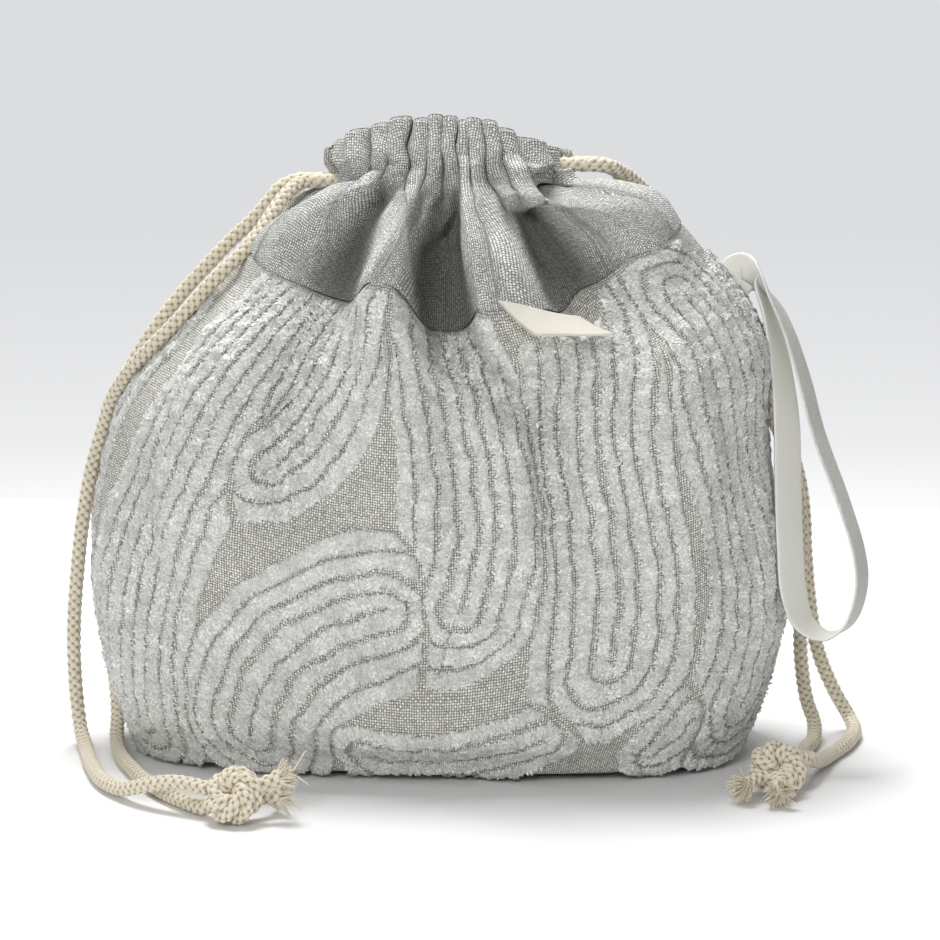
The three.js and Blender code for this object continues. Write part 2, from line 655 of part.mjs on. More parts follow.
function strapGeometry() {
  const root = sideSeamAt(STRAP_ROOT_HEIGHT);
  const down = root.along.clone().negate();
  const out = new THREE.Vector3(down.z, 0, -down.x).negate();
  const rootAt = (y) => root.point.clone().addScaledVector(out, STRAP_ROOT_GAP).setY(y);
  const centres = [rootAt(STRAP_ROOT_SPLIT), rootAt(STRAP_ROOT_SPLIT).addScaledVector(out, STRAP_ROOT_REACH)];
  const widths = [down.clone(), down.clone()];
  for (const [clear, y, drop, wx, wy, wz] of STRAP_ROWS) {
    const z = STRAP_ROOT_HEIGHT - drop;
    centres.push(new THREE.Vector3(sideSeamAt(z).point.x + clear, y, z));
    widths.push(new THREE.Vector3(wx, wy, wz).normalize());
  }
  centres.push(rootAt(-STRAP_ROOT_SPLIT).addScaledVector(out, STRAP_ROOT_REACH), rootAt(-STRAP_ROOT_SPLIT));
  widths.push(down.clone(), down.clone());
  const path = new THREE.CatmullRomCurve3(centres, false, "catmullrom");
  const spread = new THREE.CatmullRomCurve3(widths, false, "catmullrom");
  const outer = [];
  const inner = [];
  for (let k = 0; k <= STRAP_STEPS; k += 1) {
    const t = k / STRAP_STEPS;
    const centre = path.getPoint(t);
    const tangent = path.getTangent(t);
    const width = spread.getPoint(t);
    width.addScaledVector(tangent, -width.dot(tangent)).setLength(STRAP_WIDTH / 2);
    const face = tangent.clone().cross(width).setLength(STRAP_THICKNESS / 2);
    outer.push([-1, 0, 1].map((side) => centre.clone().addScaledVector(width, side).add(face)));
    inner.push([-1, 0, 1].map((side) => centre.clone().addScaledVector(width, side).sub(face)));
  }
  return sheetGeometry(outer, inner);
}

// Label: a folded strip whose two raw ends are sewn into the front band seam
function labelGeometry() {
  const halfWidth = LABEL_WIDTH / 2;
  const seamAtX = (x) => {
    let low = 0.1;
    let high = Math.PI - 0.1;
    for (let k = 0; k < 30; k += 1) {
      const middle = (low + high) / 2;
      if (layerPoint(makeColumn(middle), BAND_LENGTH, 0).x > x) {
        low = middle;
      } else {
        high = middle;
      }
    }
    return layerPoint(makeColumn(low), BAND_LENGTH, 0);
  };
  const left = seamAtX(LABEL_CENTRE_X - halfWidth);
  const right = seamAtX(LABEL_CENTRE_X + halfWidth);
  const middle = seamAtX(LABEL_CENTRE_X);
  const across = right.clone().sub(left).normalize();
  const free = new THREE.Vector3(0, -Math.cos(LABEL_DROOP), -Math.sin(LABEL_DROOP));
  free.addScaledVector(across, -free.dot(across)).normalize();
  const up = across.clone().cross(free).negate();
  const thick = 2 * LABEL_LEAF + LABEL_SPLIT;
  const fold = LABEL_LENGTH - thick / 2;
  const outline = new THREE.Shape();
  outline.moveTo(0, -thick / 2);
  outline.lineTo(fold, -thick / 2);
  outline.absarc(fold, 0, thick / 2, -Math.PI / 2, Math.PI / 2, false);
  outline.lineTo(0, thick / 2);
  outline.lineTo(0, LABEL_SPLIT / 2);
  outline.lineTo(fold, LABEL_SPLIT / 2);
  outline.absarc(fold, 0, LABEL_SPLIT / 2, Math.PI / 2, -Math.PI / 2, true);
  outline.lineTo(0, -LABEL_SPLIT / 2);
  outline.lineTo(0, -thick / 2);
  const geometry = new THREE.ExtrudeGeometry(outline, { depth: LABEL_WIDTH, bevelEnabled: false, curveSegments: 6 });
  geometry.translate(0, 0, -halfWidth);
  const root = left.clone().add(right).multiplyScalar(0.5);
  root.addScaledVector(free, Math.max(0, middle.clone().sub(root).dot(free)) + LABEL_ROOT_GAP);
  geometry.applyMatrix4(new THREE.Matrix4().makeBasis(free, up, across.clone().negate()).setPosition(root));
  return geometry;
}

// Materials
const tuftedCloth = new THREE.MeshStandardMaterial({ name: "tufted_cloth", color: 0xaeaea8, roughness: 0.95, metalness: 0 });
const plainCloth = new THREE.MeshStandardMaterial({ name: "plain_cloth", color: 0x9c9a92, roughness: 0.95, metalness: 0 });
const liningCloth = new THREE.MeshStandardMaterial({ name: "lining_cloth", color: 0xe6e2d6, roughness: 0.9, metalness: 0 });
const cottonCord = new THREE.MeshStandardMaterial({ name: "cotton_cord", color: 0xd8cdb0, roughness: 0.9, metalness: 0 });
const strapLeather = new THREE.MeshStandardMaterial({ name: "strap_leather", color: 0xc9c9c4, roughness: 0.6, metalness: 0 });
const labelCloth = new THREE.MeshStandardMaterial({ name: "label_cloth", color: 0xebe7de, roughness: 0.8, metalness: 0 });

const bag = new THREE.Group();
bag.name = "drawstring_bag";

function addPiece(name, geometry, material) {
  const mesh = new THREE.Mesh(geometry, material);
  mesh.name = name;
  bag.add(mesh);
}

addPiece("outer_front_panel", bodyLayer(true, PANEL_COLUMNS, PANEL_ROWS, 0, PANEL_THICKNESS), tuftedCloth);
addPiece("outer_back_panel", bodyLayer(false, PANEL_COLUMNS, PANEL_ROWS, 0, PANEL_THICKNESS), tuftedCloth);
addPiece("band_front", bandLayer(true), plainCloth);
addPiece("band_back", bandLayer(false), plainCloth);
addPiece("facing_front", facingLayer(true), plainCloth);
addPiece("facing_back", facingLayer(false), plainCloth);
const LINING_DEPTH = PANEL_THICKNESS + LAYER_GAP;
addPiece("lining_front", bodyLayer(true, PANEL_COLUMNS, PANEL_ROWS, LINING_DEPTH, LINING_THICKNESS), liningCloth);
addPiece("lining_back", bodyLayer(false, PANEL_COLUMNS, PANEL_ROWS, LINING_DEPTH, LINING_THICKNESS), liningCloth);
addPiece("left_cord_loop", cordGeometry(channelRoute(-1, EXIT_X_LEFT, LEFT_CORD_Z), 26), cottonCord);
addPiece("right_cord_loop", cordGeometry(channelRoute(1, EXIT_X_RIGHT, RIGHT_CORD_Z), 26), cottonCord);
addPiece("left_cord_front_run", cordGeometry(LEFT_FRONT_ROUTE, 26), cottonCord);
addPiece("left_cord_back_run", cordGeometry(LEFT_BACK_ROUTE, 26), cottonCord);
addPiece("right_cord_front_run", cordGeometry(RIGHT_FRONT_ROUTE, 30), cottonCord);
addPiece("right_cord_back_run", cordGeometry(RIGHT_BACK_ROUTE, 30), cottonCord);
addPiece("left_knot", knotGeometry(LEFT_KNOT), cottonCord);
addPiece("right_knot", knotGeometry(RIGHT_KNOT), cottonCord);
addPiece("left_tail_front", tailGeometry(LEFT_KNOT, "frontTail"), cottonCord);
addPiece("left_tail_back", tailGeometry(LEFT_KNOT, "backTail"), cottonCord);
addPiece("right_tail_front", tailGeometry(RIGHT_KNOT, "frontTail"), cottonCord);
addPiece("right_tail_back", tailGeometry(RIGHT_KNOT, "backTail"), cottonCord);
addPiece("wrist_strap", strapGeometry(), strapLeather);
addPiece("label", labelGeometry(), labelCloth);

export default bag;
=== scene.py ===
"""Drawstring project bag: tufted body, gathered plain band, braided drawcords, wrist strap and bare label."""
import math

import bpy
import numpy as np
from bpy.props import FloatProperty, FloatVectorProperty, IntProperty, PointerProperty
from mathutils import Euler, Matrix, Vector


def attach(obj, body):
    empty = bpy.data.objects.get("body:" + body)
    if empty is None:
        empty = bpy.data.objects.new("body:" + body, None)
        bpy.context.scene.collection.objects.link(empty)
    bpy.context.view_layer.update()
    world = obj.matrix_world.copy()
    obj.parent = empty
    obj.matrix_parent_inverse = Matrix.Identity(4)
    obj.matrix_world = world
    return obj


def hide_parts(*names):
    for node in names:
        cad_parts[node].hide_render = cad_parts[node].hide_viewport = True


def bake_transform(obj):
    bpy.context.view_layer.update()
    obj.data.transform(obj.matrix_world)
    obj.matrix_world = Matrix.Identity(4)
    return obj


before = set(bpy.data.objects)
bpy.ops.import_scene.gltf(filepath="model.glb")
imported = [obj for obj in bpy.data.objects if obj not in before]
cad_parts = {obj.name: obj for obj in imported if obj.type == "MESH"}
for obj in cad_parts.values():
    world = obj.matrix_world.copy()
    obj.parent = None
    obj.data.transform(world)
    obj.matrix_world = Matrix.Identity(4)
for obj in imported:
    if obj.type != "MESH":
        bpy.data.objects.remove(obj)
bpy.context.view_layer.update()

bl_info = {
    "name": "Drawstring project bag",
    "version": (1, 0, 0),
    "blender": (4, 5, 0),
    "location": "3D View > Sidebar > Project bag",
    "description": "Dresses the packed bag in tufted cloth, a gathered band, cords, a strap and a label",
    "category": "Object",
}

# All shapes are worked out in millimetres and put into the meshes in metres
MM = 0.001

# Bag levels from the base edge to the rim: height, left and right half width, half depth, squareness
LEVELS = np.array([
    [0, 108, 104, 53, 2.8],
    [60, 121.5, 121.5, 64, 2.8],
    [118, 113.5, 115, 62, 2.8],
    [148, 93, 111, 55, 2.8],
    [180, 64.5, 87, 42, 2.3],
    [203, 39, 45, 29, 2.3],
    [225, 39.5, 42, 30, 2.3],
])
BELLY_LEVEL = 1.0
NECK_LEVEL = 5.0
WALL_SAMPLES = 400
OUTLINE_SAMPLES = 3001
ROUTE_SAMPLES = 60
NOISE_SIZE = 128
PANEL_WIDTH = 330.0
PANEL_HEIGHT = 172.0
BASE_DEPTH = 54.0
BAND_LENGTH = 68.0
BAND_RISE_LEFT = 12.0
BAND_RISE_RIGHT = 8.0
BAND_RISE_POWER = 4
BOTTOM_SEAM_Y = 4.0
BOTTOM_SEAM_INSET = 0.1
SAG_DEPTH = 9.0
SAG_HEIGHT = 21.0
SAG_SPREAD = 18.0
SAG_FOOT = 21.0
BASE_ROUND = 9.0
EDGE_FULL_SHARE = 0.4
EDGE_ROUNDS = 6
SIDE_DENT = 4.5
SIDE_DENT_HEIGHT = 96.0
SIDE_DENT_SPREAD = 34.0
SIDE_DENT_POWER = 6
SEAM_DITCH = 1.0
SEAM_DITCH_WIDTH = 1.3

# Seeds of the random tables
SEED_TUFT_FINE = 3
SEED_TUFT_COARSE = 4
SEED_TUFT_BARE = 5
SEED_TUFT_RAGGED = 6
SEED_LOBE_SWAY = 7
SEED_LOBE_UNEVEN = 8
SEED_PILE_CLUMP = 9
SEED_PILE = 11
SEED_TUFT_RIGHT = 21
SEED_TUFT_UP = 22
SEED_TAIL = 7

# Gathers of the header, from left to right: x of the creases on both sides, depth, rise of the rim
# and lean along x
FRONT_LOBES = np.array([
    [-40, -33, 2.4, -0.5, 1.0],
    [-33, -24, 6.0, 0.4, 0.6],
    [-24, -17.5, 5.2, 0.0, 0.5],
    [-17.5, -10, 6.2, 0.8, 0.0],
    [-10, -3.5, 5.2, -0.4, 0.8],
    [-3.5, 1.7, 4.4, 0.6, 0.0],
    [1.7, 7.2, 4.8, 0.2, 0.0],
    [7.2, 11.5, 3.6, -0.8, 0.5],
    [11.5, 17.5, 5.4, 0.4, 0.0],
    [17.5, 23.5, 6.2, 0.6, 0.4],
    [23.5, 30, 5.6, -0.8, 0.4],
    [30, 40.5, 9.5, -1.5, 0.0],
    [40.5, 46, 2.0, -2.5, 0.0],
])
BACK_LOBES = np.array([
    [-40, -31, 6.4, 0.2, -1.2],
    [-31, -22, 6.0, 1.6, 0.0],
    [-22, -15, 5.0, -0.6, 0.6],
    [-15, -7, 6.2, 2.4, 0.0],
    [-7, -1, 4.6, -0.4, 0.4],
    [-1, 6, 5.4, 0.4, 0.0],
    [6, 13, 5.2, -0.2, 0.4],
    [13, 22, 6.4, 0.6, 0.0],
    [22, 31, 6.0, -0.4, 0.8],
    [31, 46, 7.4, 0.0, 1.6],
])
LOBE_ROUNDNESS = 0.62
LOBE_SINK = 0.5
LOBE_OVERHANG = 1.1
LOBE_CROWN_RISE = 2.2
LOBE_FADE_LENGTHS = (0, 5, 12, 17, 21, 26, 34, 48)
LOBE_FADE_SHARES = (1.15, 1.15, 1.0, 0.8, 0.62, 0.5, 0.25, 0.0)
LOBE_SWAY = 1.5
LOBE_SWAY_LENGTH = 9.0
LOBE_UNEVEN = 0.35
LOBE_EDGE = 5.0
# Painted shade in the creases between the lobes: where it starts and how fast it fades towards the crown
CREASE_SHADE_START = 1.15
CREASE_SHADE_SLOPE = 1.6
PINCH_LENGTH = 21.0
PINCH_WIDTH = 6.0
PINCH_DEPTH = 3.4
PUFF_DEPTH = 1.0
RIM_DROOP = 9.0
RIM_NARROW = 0.06
RIM_DROOP_LENGTH = 34.0
RIM_DROP = 3.5
RIM_CLOSE_FRONT = 0.2
RIM_CLOSE_BACK = 0.55
BACK_RIM_DROP = 5.0
BACK_RIM_END_SHARE = 0.4
RIM_ROLL_DEPTHS = (2.2, 1.9, 1.1, 0.3)
RIM_ROLL_RISES = (0.0, 0.5, 0.8, 0.5)
BAND_COLUMNS = 640
BAND_ROWS = 130

# Facing behind the header: where it starts and ends below the rim, its depth behind the band and how that
# depth grows on the way down
FACING_START = 0.2
FACING_HEADER = 13.0
FACING_DEPTH = 2.2
FACING_SLOPE = 0.06

# Throat of the facing: half width, half depth, height of its upper end and length
THROAT_HALF_WIDTH = 18.5
THROAT_HALF_DEPTH = 10.0
THROAT_TOP = 209.0
THROAT_LENGTH = 13.0

# Facing below the throat: lengths from the rim where it turns out and ends, its shares of the width and depth
# inside the band, the depth below which the band's ends leave it free, and the rows and columns over which
# the least depth is taken
FACING_TURN = 24.0
FACING_FOOT = 64.0
FACING_WIDTH_SHARE = 0.93
FACING_DEPTH_SHARE = 0.9
FACING_END_DEPTH = 6.0
FACING_ROWS = 7
FACING_COLUMNS = 16
FACING_GRID_COLUMNS = 300
FACING_HEADER_ROWS = 14
FACING_THROAT_ROWS = 8
FACING_LOW_ROWS = 24
FACING_REACH = 0.5

# Lining: depth behind the panel, height over the table, overlap with the band and points of its grid
LINING_DEPTH = 6.0
LINING_LIFT = 5.0
LINING_OVERLAP = 2
LINING_COLUMNS = 130
LINING_ROWS = 70
LINING_BASE_ROWS = 16
LINING_ROUND = 5

# Folds of the front, each a line of points: x, z, width, height out of the cloth, lean along x, lift along z
FRONT_FOLDS = (
    # Left shoulder ridge, the crease above it and the broad valley below it
    ((-8, 206, 3, 0, 0, 0), (-16, 203, 4, 4, 0, 1), (-26, 198, 5, 7, 0, 2), (-38, 191, 5.5, 7.5, 0, 2),
     (-50, 183, 6, 6.5, 0, 2), (-56, 176, 7, 4, 0, 1), (-64, 166, 8, 0, 0, 0)),
    ((-22, 203, 3, 0, 0, 0), (-29, 200, 3.5, -3.5, 0, 0), (-42, 196, 4, -4.5, 0, 0),
     (-52, 190, 4.5, -3, 0, 0), (-60, 183, 5, 0, 0, 0)),
    ((-8, 203, 3, 0, 0, 0), (-13, 199, 4, -6, 0, 0), (-19, 191, 5.5, -10, 0, 0), (-25, 183, 7, -11, 0, -1),
     (-31, 175, 9, -10, 0, -3), (-36, 163, 10, -7, 0, -2), (-44, 148, 11, 0, 0, 0)),
    # Long ridge from the neck over the seam and down the body
    ((0, 212, 3, 0, 0, 0), (-3, 205, 4, 4, 0, 0), (-9, 198, 5, 7.5, 1, 1), (-14.5, 190, 6.2, 11, 5, 4),
     (-18, 183, 7.6, 14, 7, 7), (-18.5, 176, 8.6, 16, 7, 8), (-17.5, 168, 9.2, 15.5, 4, 7),
     (-14, 160, 10, 12, 0, 6), (-12, 150, 11, 9, 0, 4), (-11, 126, 12, 6.5, 0, 1), (-8, 94, 15, 4.5, 0, 0),
     (-5, 60, 17, 0, 0, 0)),
    ((6, 203, 2.5, 0, 0, 0), (4, 199, 3, 4, 0, 0), (3, 191, 3.5, 5.5, 0, 0), (-2, 187, 4, 5, 0, 0),
     (-8, 184, 4, 3, 0, 0), (-13, 181, 5, 0, 0, 0)),
    # Broad hollow in the middle of the band and the valley that runs on below the label
    ((7, 203, 3, 0, 0, 0), (5, 199, 3.5, -6, 0, 0), (4, 193, 4.8, -12, 0, 0), (2.5, 183, 7.5, -16, 0, -2),
     (2, 172, 9.5, -17, 0, -7), (3.5, 161, 11, -15, 0, -9), (9, 150, 10.5, -11, 0, -7),
     (22, 137, 9, -8, 0, -2), (34, 127, 7.5, -6, 0, 0), (44, 117, 6, 0, 0, 0)),
    # Bright ridge that carries the label, leaning over the hollow
    ((11, 212, 3, 0, 0, 0), (11, 207, 3.5, 5, 0, 0), (12.5, 199, 4.5, 8, -1, 0), (15, 191, 5.5, 10, -2, 0),
     (18, 180, 7, 11, -3, 1), (22, 171, 8, 9, -3, 0), (27, 160, 9.5, 6, -2, -4), (33, 148, 10.5, 5, 0, -3),
     (42, 134, 12, 4, 0, 0), (50, 122, 12, 0, 0, 0)),
    ((18, 201, 2.5, 0, 0, 0), (19.5, 196, 3, -4, 0, 0), (22.5, 188, 3.5, -5, 0, 0), (25, 181, 4, -3, 0, 0),
     (28, 174, 4.5, 0, 0, 0)),
    ((19, 203, 3, 0, 0, 0), (20.5, 197, 3.2, 4, 0, 0), (24, 190, 4, 6.5, 0, 0), (28, 181, 4.6, 7, 0, 0),
     (33, 174, 5.2, 5.5, 0, -2), (40, 168, 7, 3, 0, -5), (49, 160, 8, 0, 0, -3)),
    # Dark scoop beside it and the curled lobe that hangs over the scoop
    ((23, 198, 3, 0, 0, 0), (26.5, 194, 4.5, -6, 0, 0), (31, 189, 6, -9.5, 0, 0),
     (37, 183, 7.5, -12, 0, -2), (46, 175, 9, -11, 0, -4), (58, 167, 10, -6, 0, -4),
     (68, 157, 10, -2.5, 0, -2), (78, 148, 10, 0, 0, 0)),
    ((29, 216, 4, 0, 0, 0), (28, 210, 5, 5, 0, 0), (27, 205, 5.5, 8, 0, 0), (28.5, 199, 5.5, 9.5, 0, -1),
     (31, 195.5, 5, 7.5, 0, -2), (34, 192.5, 4, 0, 0, 0)),
    # Right shoulder: crease, ridge along the top and a second ridge below it
    ((34, 201, 2.5, 0, 0, 0), (37, 199, 3, -6, 0, 0), (42, 198, 3.2, -6.5, 0, 0),
     (49, 197, 3.5, -4.5, 0, 0), (57, 194, 4, 0, 0, 0)),
    ((35, 213, 3, 0, 0, 0), (39, 209, 4, 4, 0, 1), (46, 204.5, 5, 7, 0, 2), (54, 198.5, 6, 8, 0, 3),
     (64, 192.5, 7, 7, 0, 3), (76, 184, 8, 4, 0, 1), (90, 172, 9, 0, 0, 0)),
    ((31, 197, 3, 0, 0, 0), (37, 196, 3.5, 4, 0, 0), (47, 195, 4, 6.5, 0, 0), (58, 191, 5, 6, 0, 0),
     (69, 184, 6, 4, 0, 0), (80, 174, 7, 0, 0, 0)),
    # Slack of the body: creases and swells between the seam and the base
    ((52, 152, 6, 0, 0, 0), (44, 134, 7, -4, 0, 0), (41, 118, 8, -6, 0, 0), (43, 92, 10, -4.5, 0, 0),
     (46, 64, 12, 0, 0, 0)),
    ((-58, 168, 8, 0, 0, 0), (-66, 150, 10, 5, 0, 0), (-74, 128, 12, 5, 0, 0), (-78, 96, 14, 3, 0, 0),
     (-80, 70, 16, 0, 0, 0)),
    ((-40, 158, 7, 0, 0, 0), (-44, 138, 9, -5, 0, 0), (-46, 110, 11, -4.5, 0, 0), (-44, 80, 13, 0, 0, 0)),
    ((76, 160, 8, 0, 0, 0), (80, 140, 10, 4, 0, 0), (84, 112, 13, 4, 0, 0), (88, 84, 15, 0, 0, 0)),
    ((-98, 120, 9, 0, 0, 0), (-101, 96, 10, -3, 0, 0), (-100, 66, 12, -2.5, 0, 0), (-96, 36, 12, 0, 0, 0)),
    ((104, 120, 8, 0, 0, 0), (103, 92, 10, -3, 0, 0), (104, 62, 11, -2, 0, 0), (100, 36, 12, 0, 0, 0)),
    ((-60, 40, 12, 0, 0, 0), (-30, 30, 13, 3, 0, 0), (10, 28, 13, 3, 0, 0), (45, 36, 12, 0, 0, 0)),
)
FOLD_SAMPLES = 16
FOLD_REACH = 2.1
FOLD_POWER = 4.2
FOLD_STRENGTH = 1.2
SIDE_SEAM_FADE = 9.0
# Fold depth at which the painted shade of a hollow is full
HOLLOW_SHADE_DEPTH = 12.0

# The back has the same kind of slack, mirrored and stretched a little
BACK_MIRROR = -0.96
BACK_SHIFT = 3.0

# Tufted lines: nests of loops about a bent core, in millimetres right of the middle and above the base:
# first end, bending point and second end of the core, number of lines and their spacing
TUFT_NESTS = (
    (-150, 8, -160, 85, -138, 168, 3, 6.6),
    (-112, 18, -98, 92, -72, 172, 4, 6.8),
    (-62, 18, -50, 52, -14, 64, 4, 7.0),
    (-58, 108, -30, 126, -26, 178, 3, 6.8),
    (-20, 14, 12, 8, 44, 20, 2, 7.4),
    (10, 66, 20, 110, 4, 168, 4, 6.6),
    (62, 44, 56, 100, 66, 176, 4, 6.8),
    (88, 10, 92, 14, 96, 22, 2, 7.2),
    (116, 26, 126, 92, 104, 172, 4, 6.8),
    (158, 20, 152, 92, 146, 166, 3, 6.6),
    (-120, -40, -90, -34, -60, -34, 3, 7.2),
    (-20, -36, 10, -42, 40, -42, 3, 7.2),
    (80, -38, 105, -34, 130, -34, 3, 7.2),
)
CORE_SAMPLES = 14
LINES_PER_NEST = 20
LINE_PITCH = 6.8
TUFT_WARP = 3.0
TUFT_JITTER = 1.1
TUFT_JITTER_LENGTH = 8.0
TUFT_WARP_LENGTH = 46.0
TUFT_WARP_RIGHT = (0.7, 2.1, 0.4)
TUFT_WARP_UP = (1.7, -0.6, 1.9)
TUFT_EDGE = 1.5
TUFT_GROUND = 0.2
TUFT_END = 0.3
TUFT_FAR = 1e3
BARE_LEAST = 0.08
BARE_MOST = 0.46
TUFT_SEAM_START = 0.6
TUFT_SEAM_FADE = 4.0
# Unevenness of a tufted line: length along it and turns across it
TUFT_FINE = (1.6, 1.7)
TUFT_COARSE = (3.1, 0.9)
TUFT_RAGGED = (1.2, 2.3)
TUFT_UNEVEN = 0.3
TUFT_BARE_SHARE = 0.7
TUFT_RAGGED_SHARE = 0.2
TUFT_FLATNESS = 5
TUFT_SHOULDER = 0.8

# Panels: depth behind the wall, height over the table, rows of the base, the distance from the seam that
# stands for the base, and the lowest place of the cloth
PANEL_DEPTH = 0.3
PANEL_LIFT = 0.2
PANEL_BASE_ROWS = 9
BASE_BELOW_SEAM = 50.0
LOWEST_CLOTH = 0.15

# Cut yarn ends of the pile: least height of the line under them, clumps, turn, tilt, size and tone
PILE_START = 0.35
PILE_CLUMP_LENGTH = 2.4
PILE_PARTING = (0.3, 0.7)
PILE_TURN = (0.5, 0.5)
PILE_CLUMP_TURN = 0.9
PILE_TILT = 0.22
PILE_LENGTHS = (1.0, 2.0)
PILE_OVERHANG = 0.2
PILE_HALF_WIDTHS = (0.22, 0.4)
PILE_CREST_PLACE = 0.42
PILE_CREST_HEIGHTS = (0.08, 0.2)
PILE_ROOT_DEPTH = 0.2
PILE_LOWEST = 0.1
PILE_TONE_SPREAD = 0.8
PILE_TONE_CLUMP = 0.3
PILE_TONE_LEAST = 0.1

# Free cord runs from the side slots over the shoulders to the knots on the table
LEFT_FRONT_ROUTE = (
    (-43.3, -3.2, 200), (-46.3, -3.2, 200), (-49.7, -4.8, 198.8), (-53.6, -9.2, 195.2),
    (-57.2, -14.4, 189.8), (-61.2, -19, 183.4), (-66.4, -22.8, 177), (-72.4, -25.2, 171.2),
    (-79.2, -26, 164.4), (-86.2, -26, 156.4), (-93, -25.4, 149.4), (-101.2, -22.4, 141.4),
    (-109, -16.4, 132.8), (-114.8, -10.8, 124), (-118.6, -7, 114), (-123, -5.4, 100), (-127, -5, 80),
    (-129, -5, 64), (-130.5, -5, 48), (-131, -5, 32), (-130, -6, 15), (-128, -10.6, 6.6), (-123.6, -24, 3),
    (-117, -48, 3), (-109, -70, 3), (-100, -83.6, 4), (-90.5, -92.4, 7.6), (-81.5, -97.6, 10.2),
    (-73, -101.8, 10.3), (-67.8, -104.8, 9.9),
)
LEFT_BACK_ROUTE = (
    (-43.3, 3.2, 200), (-46.3, 3.2, 200), (-50.3, 2.8, 200), (-56.4, 1.4, 197.4), (-61, 0.2, 192),
    (-66.4, 0, 186), (-72.4, 0, 180.5), (-83.4, 0, 169.2), (-93.4, 0, 158), (-102, 0.4, 146.7),
    (-109.6, 1.6, 135), (-115.4, 3.6, 123.6), (-119.6, 6, 111), (-123, 9, 96), (-124.8, 13, 80),
    (-125.2, 16, 64), (-123.6, 16, 46), (-120.6, 12, 29), (-117, 2, 12), (-114.6, -13, 4), (-109, -35, 3),
    (-102, -53, 3), (-95, -68.5, 3), (-87, -82, 3), (-79, -93, 3.2), (-69.8, -102.7, 3.2),
    (-66.7, -104.8, 4.9),
)
RIGHT_FRONT_ROUTE = (
    (49.3, -3.2, 206), (52.3, -3.2, 206), (56.7, -1.6, 205.4), (61.6, 3.6, 203.2), (66, 10.6, 199.4),
    (70.6, 18, 194.6), (75.6, 25, 188.4), (81.6, 30.2, 180.8), (88.6, 32.6, 172), (95.4, 33.4, 163.6),
    (101.4, 33.6, 154.6), (106.4, 34, 145), (109.8, 34.4, 134.6), (112.4, 34, 123.8), (116, 31.4, 113.4),
    (120.6, 26.4, 103.4), (124, 20.8, 91.6), (125.6, 17.6, 80), (126, 16.5, 68), (126, 17.5, 48),
    (126.6, 21, 29), (129, 24.6, 13), (131.4, 19.6, 6.8), (130.8, 5, 3.2), (127.6, -8, 3), (123.4, -28, 3),
    (119.1, -46.9, 3.6), (118.1, -52.5, 5.7),
)
RIGHT_BACK_ROUTE = (
    (49.3, 3.2, 206), (52.3, 3.2, 206), (55.3, 4.6, 205.6), (58.8, 9, 203.8), (62, 14.8, 200),
    (66, 21.6, 195), (71.6, 29, 188.6), (79, 35, 180.8), (87.6, 38.8, 172), (94.8, 39.6, 163.6),
    (101.2, 39.8, 154.6), (106.4, 40.2, 145), (110, 40.6, 134.6), (113, 40.2, 123.8), (117.2, 37.6, 113.4),
    (122, 32.6, 103.4), (125.4, 27, 91.6), (127, 23.8, 80), (127.6, 22.8, 68), (129.6, 24, 48),
    (133, 28, 30), (139, 33, 15), (144.6, 32, 5.4), (146, 20, 3), (142.6, 2, 3), (136, -16, 3),
    (131, -34, 5), (126.2, -50.1, 9.9), (123, -54, 9.7),
)

# Channel part of a drawcord: half of its plan from the slot on, in shares of the slot's distance from the
# middle
CHANNEL_SHARES = (1.02, 0.78, 0.62, 0.44, 0.26, 0.0)
CHANNEL_SPREADS = (3.2, 3.2, 3.7, 10.6, 17.5, 18.0)
CHANNEL_TURN = ((-12.4, 18.0), (-25.1, 12.7))
CHANNEL_END = (-30.4, 0.0)
LEFT_SLOT = (43.0, 200.0)
RIGHT_SLOT = (49.0, 206.0)
# A direction that none of the runs follows, used to set the braid's start on them
BRAID_REFERENCE = np.array([0.6, 0.7, -0.4])
BRAID_RELIEF = 0.7
BRAID_TOP = 0.9
BRAID_STRANDS = 4
BRAID_ACROSS_POWER = 0.7
BRAID_ALONG_POWER = 0.35
# Painted shade of the braid: sharpness of the dark holes where stitches meet, and the colour share left low
# between them
BRAID_GAP_POWER = 1.2
BRAID_GAP_SHADE = 0.4
BRAID_SIDES = 32
RUN_STEP = 0.45
LOOP_STEP = 0.9

# Knots on the table: middle, turn, and the ways in which the tails leave
LEFT_KNOT = (-59.0, -110.0, 9.3)
LEFT_KNOT_TURN = (0.9, 0.2, -0.5)
LEFT_TAILS = ((0.75, 0.62, -0.19), (0.92, 0.2, 0.34))
RIGHT_KNOT = (116.5, -62.0, 9.3)
RIGHT_KNOT_TURN = (0.7, -0.5, 0.9)
RIGHT_TAILS = ((0.02, -0.98, -0.19), (-0.66, -0.72, -0.19))
KNOT_RADIUS = 4.5
KNOT_TURN_RADIUS = 2.9
KNOT_SPREAD = 2.0
KNOT_STRAND_RADIUS = 2.25
KNOT_THROUGH = 3
KNOT_ROUND = 2
KNOT_SAMPLES = 340
KNOT_SIDES = 24
KNOT_LIFT = 0.2
TAIL_START = 7.0
TAIL_LENGTH = 14.0
TAIL_BRAID_SHARE = 0.72
TAIL_ROWS = 40
TAIL_LIFT = 0.3
TAIL_SWELL = 0.22
TAIL_SWELL_START = 0.55
TAIL_REFERENCE = (0.1, 0.3, 1.0)
TAIL_LOWEST = 0.15

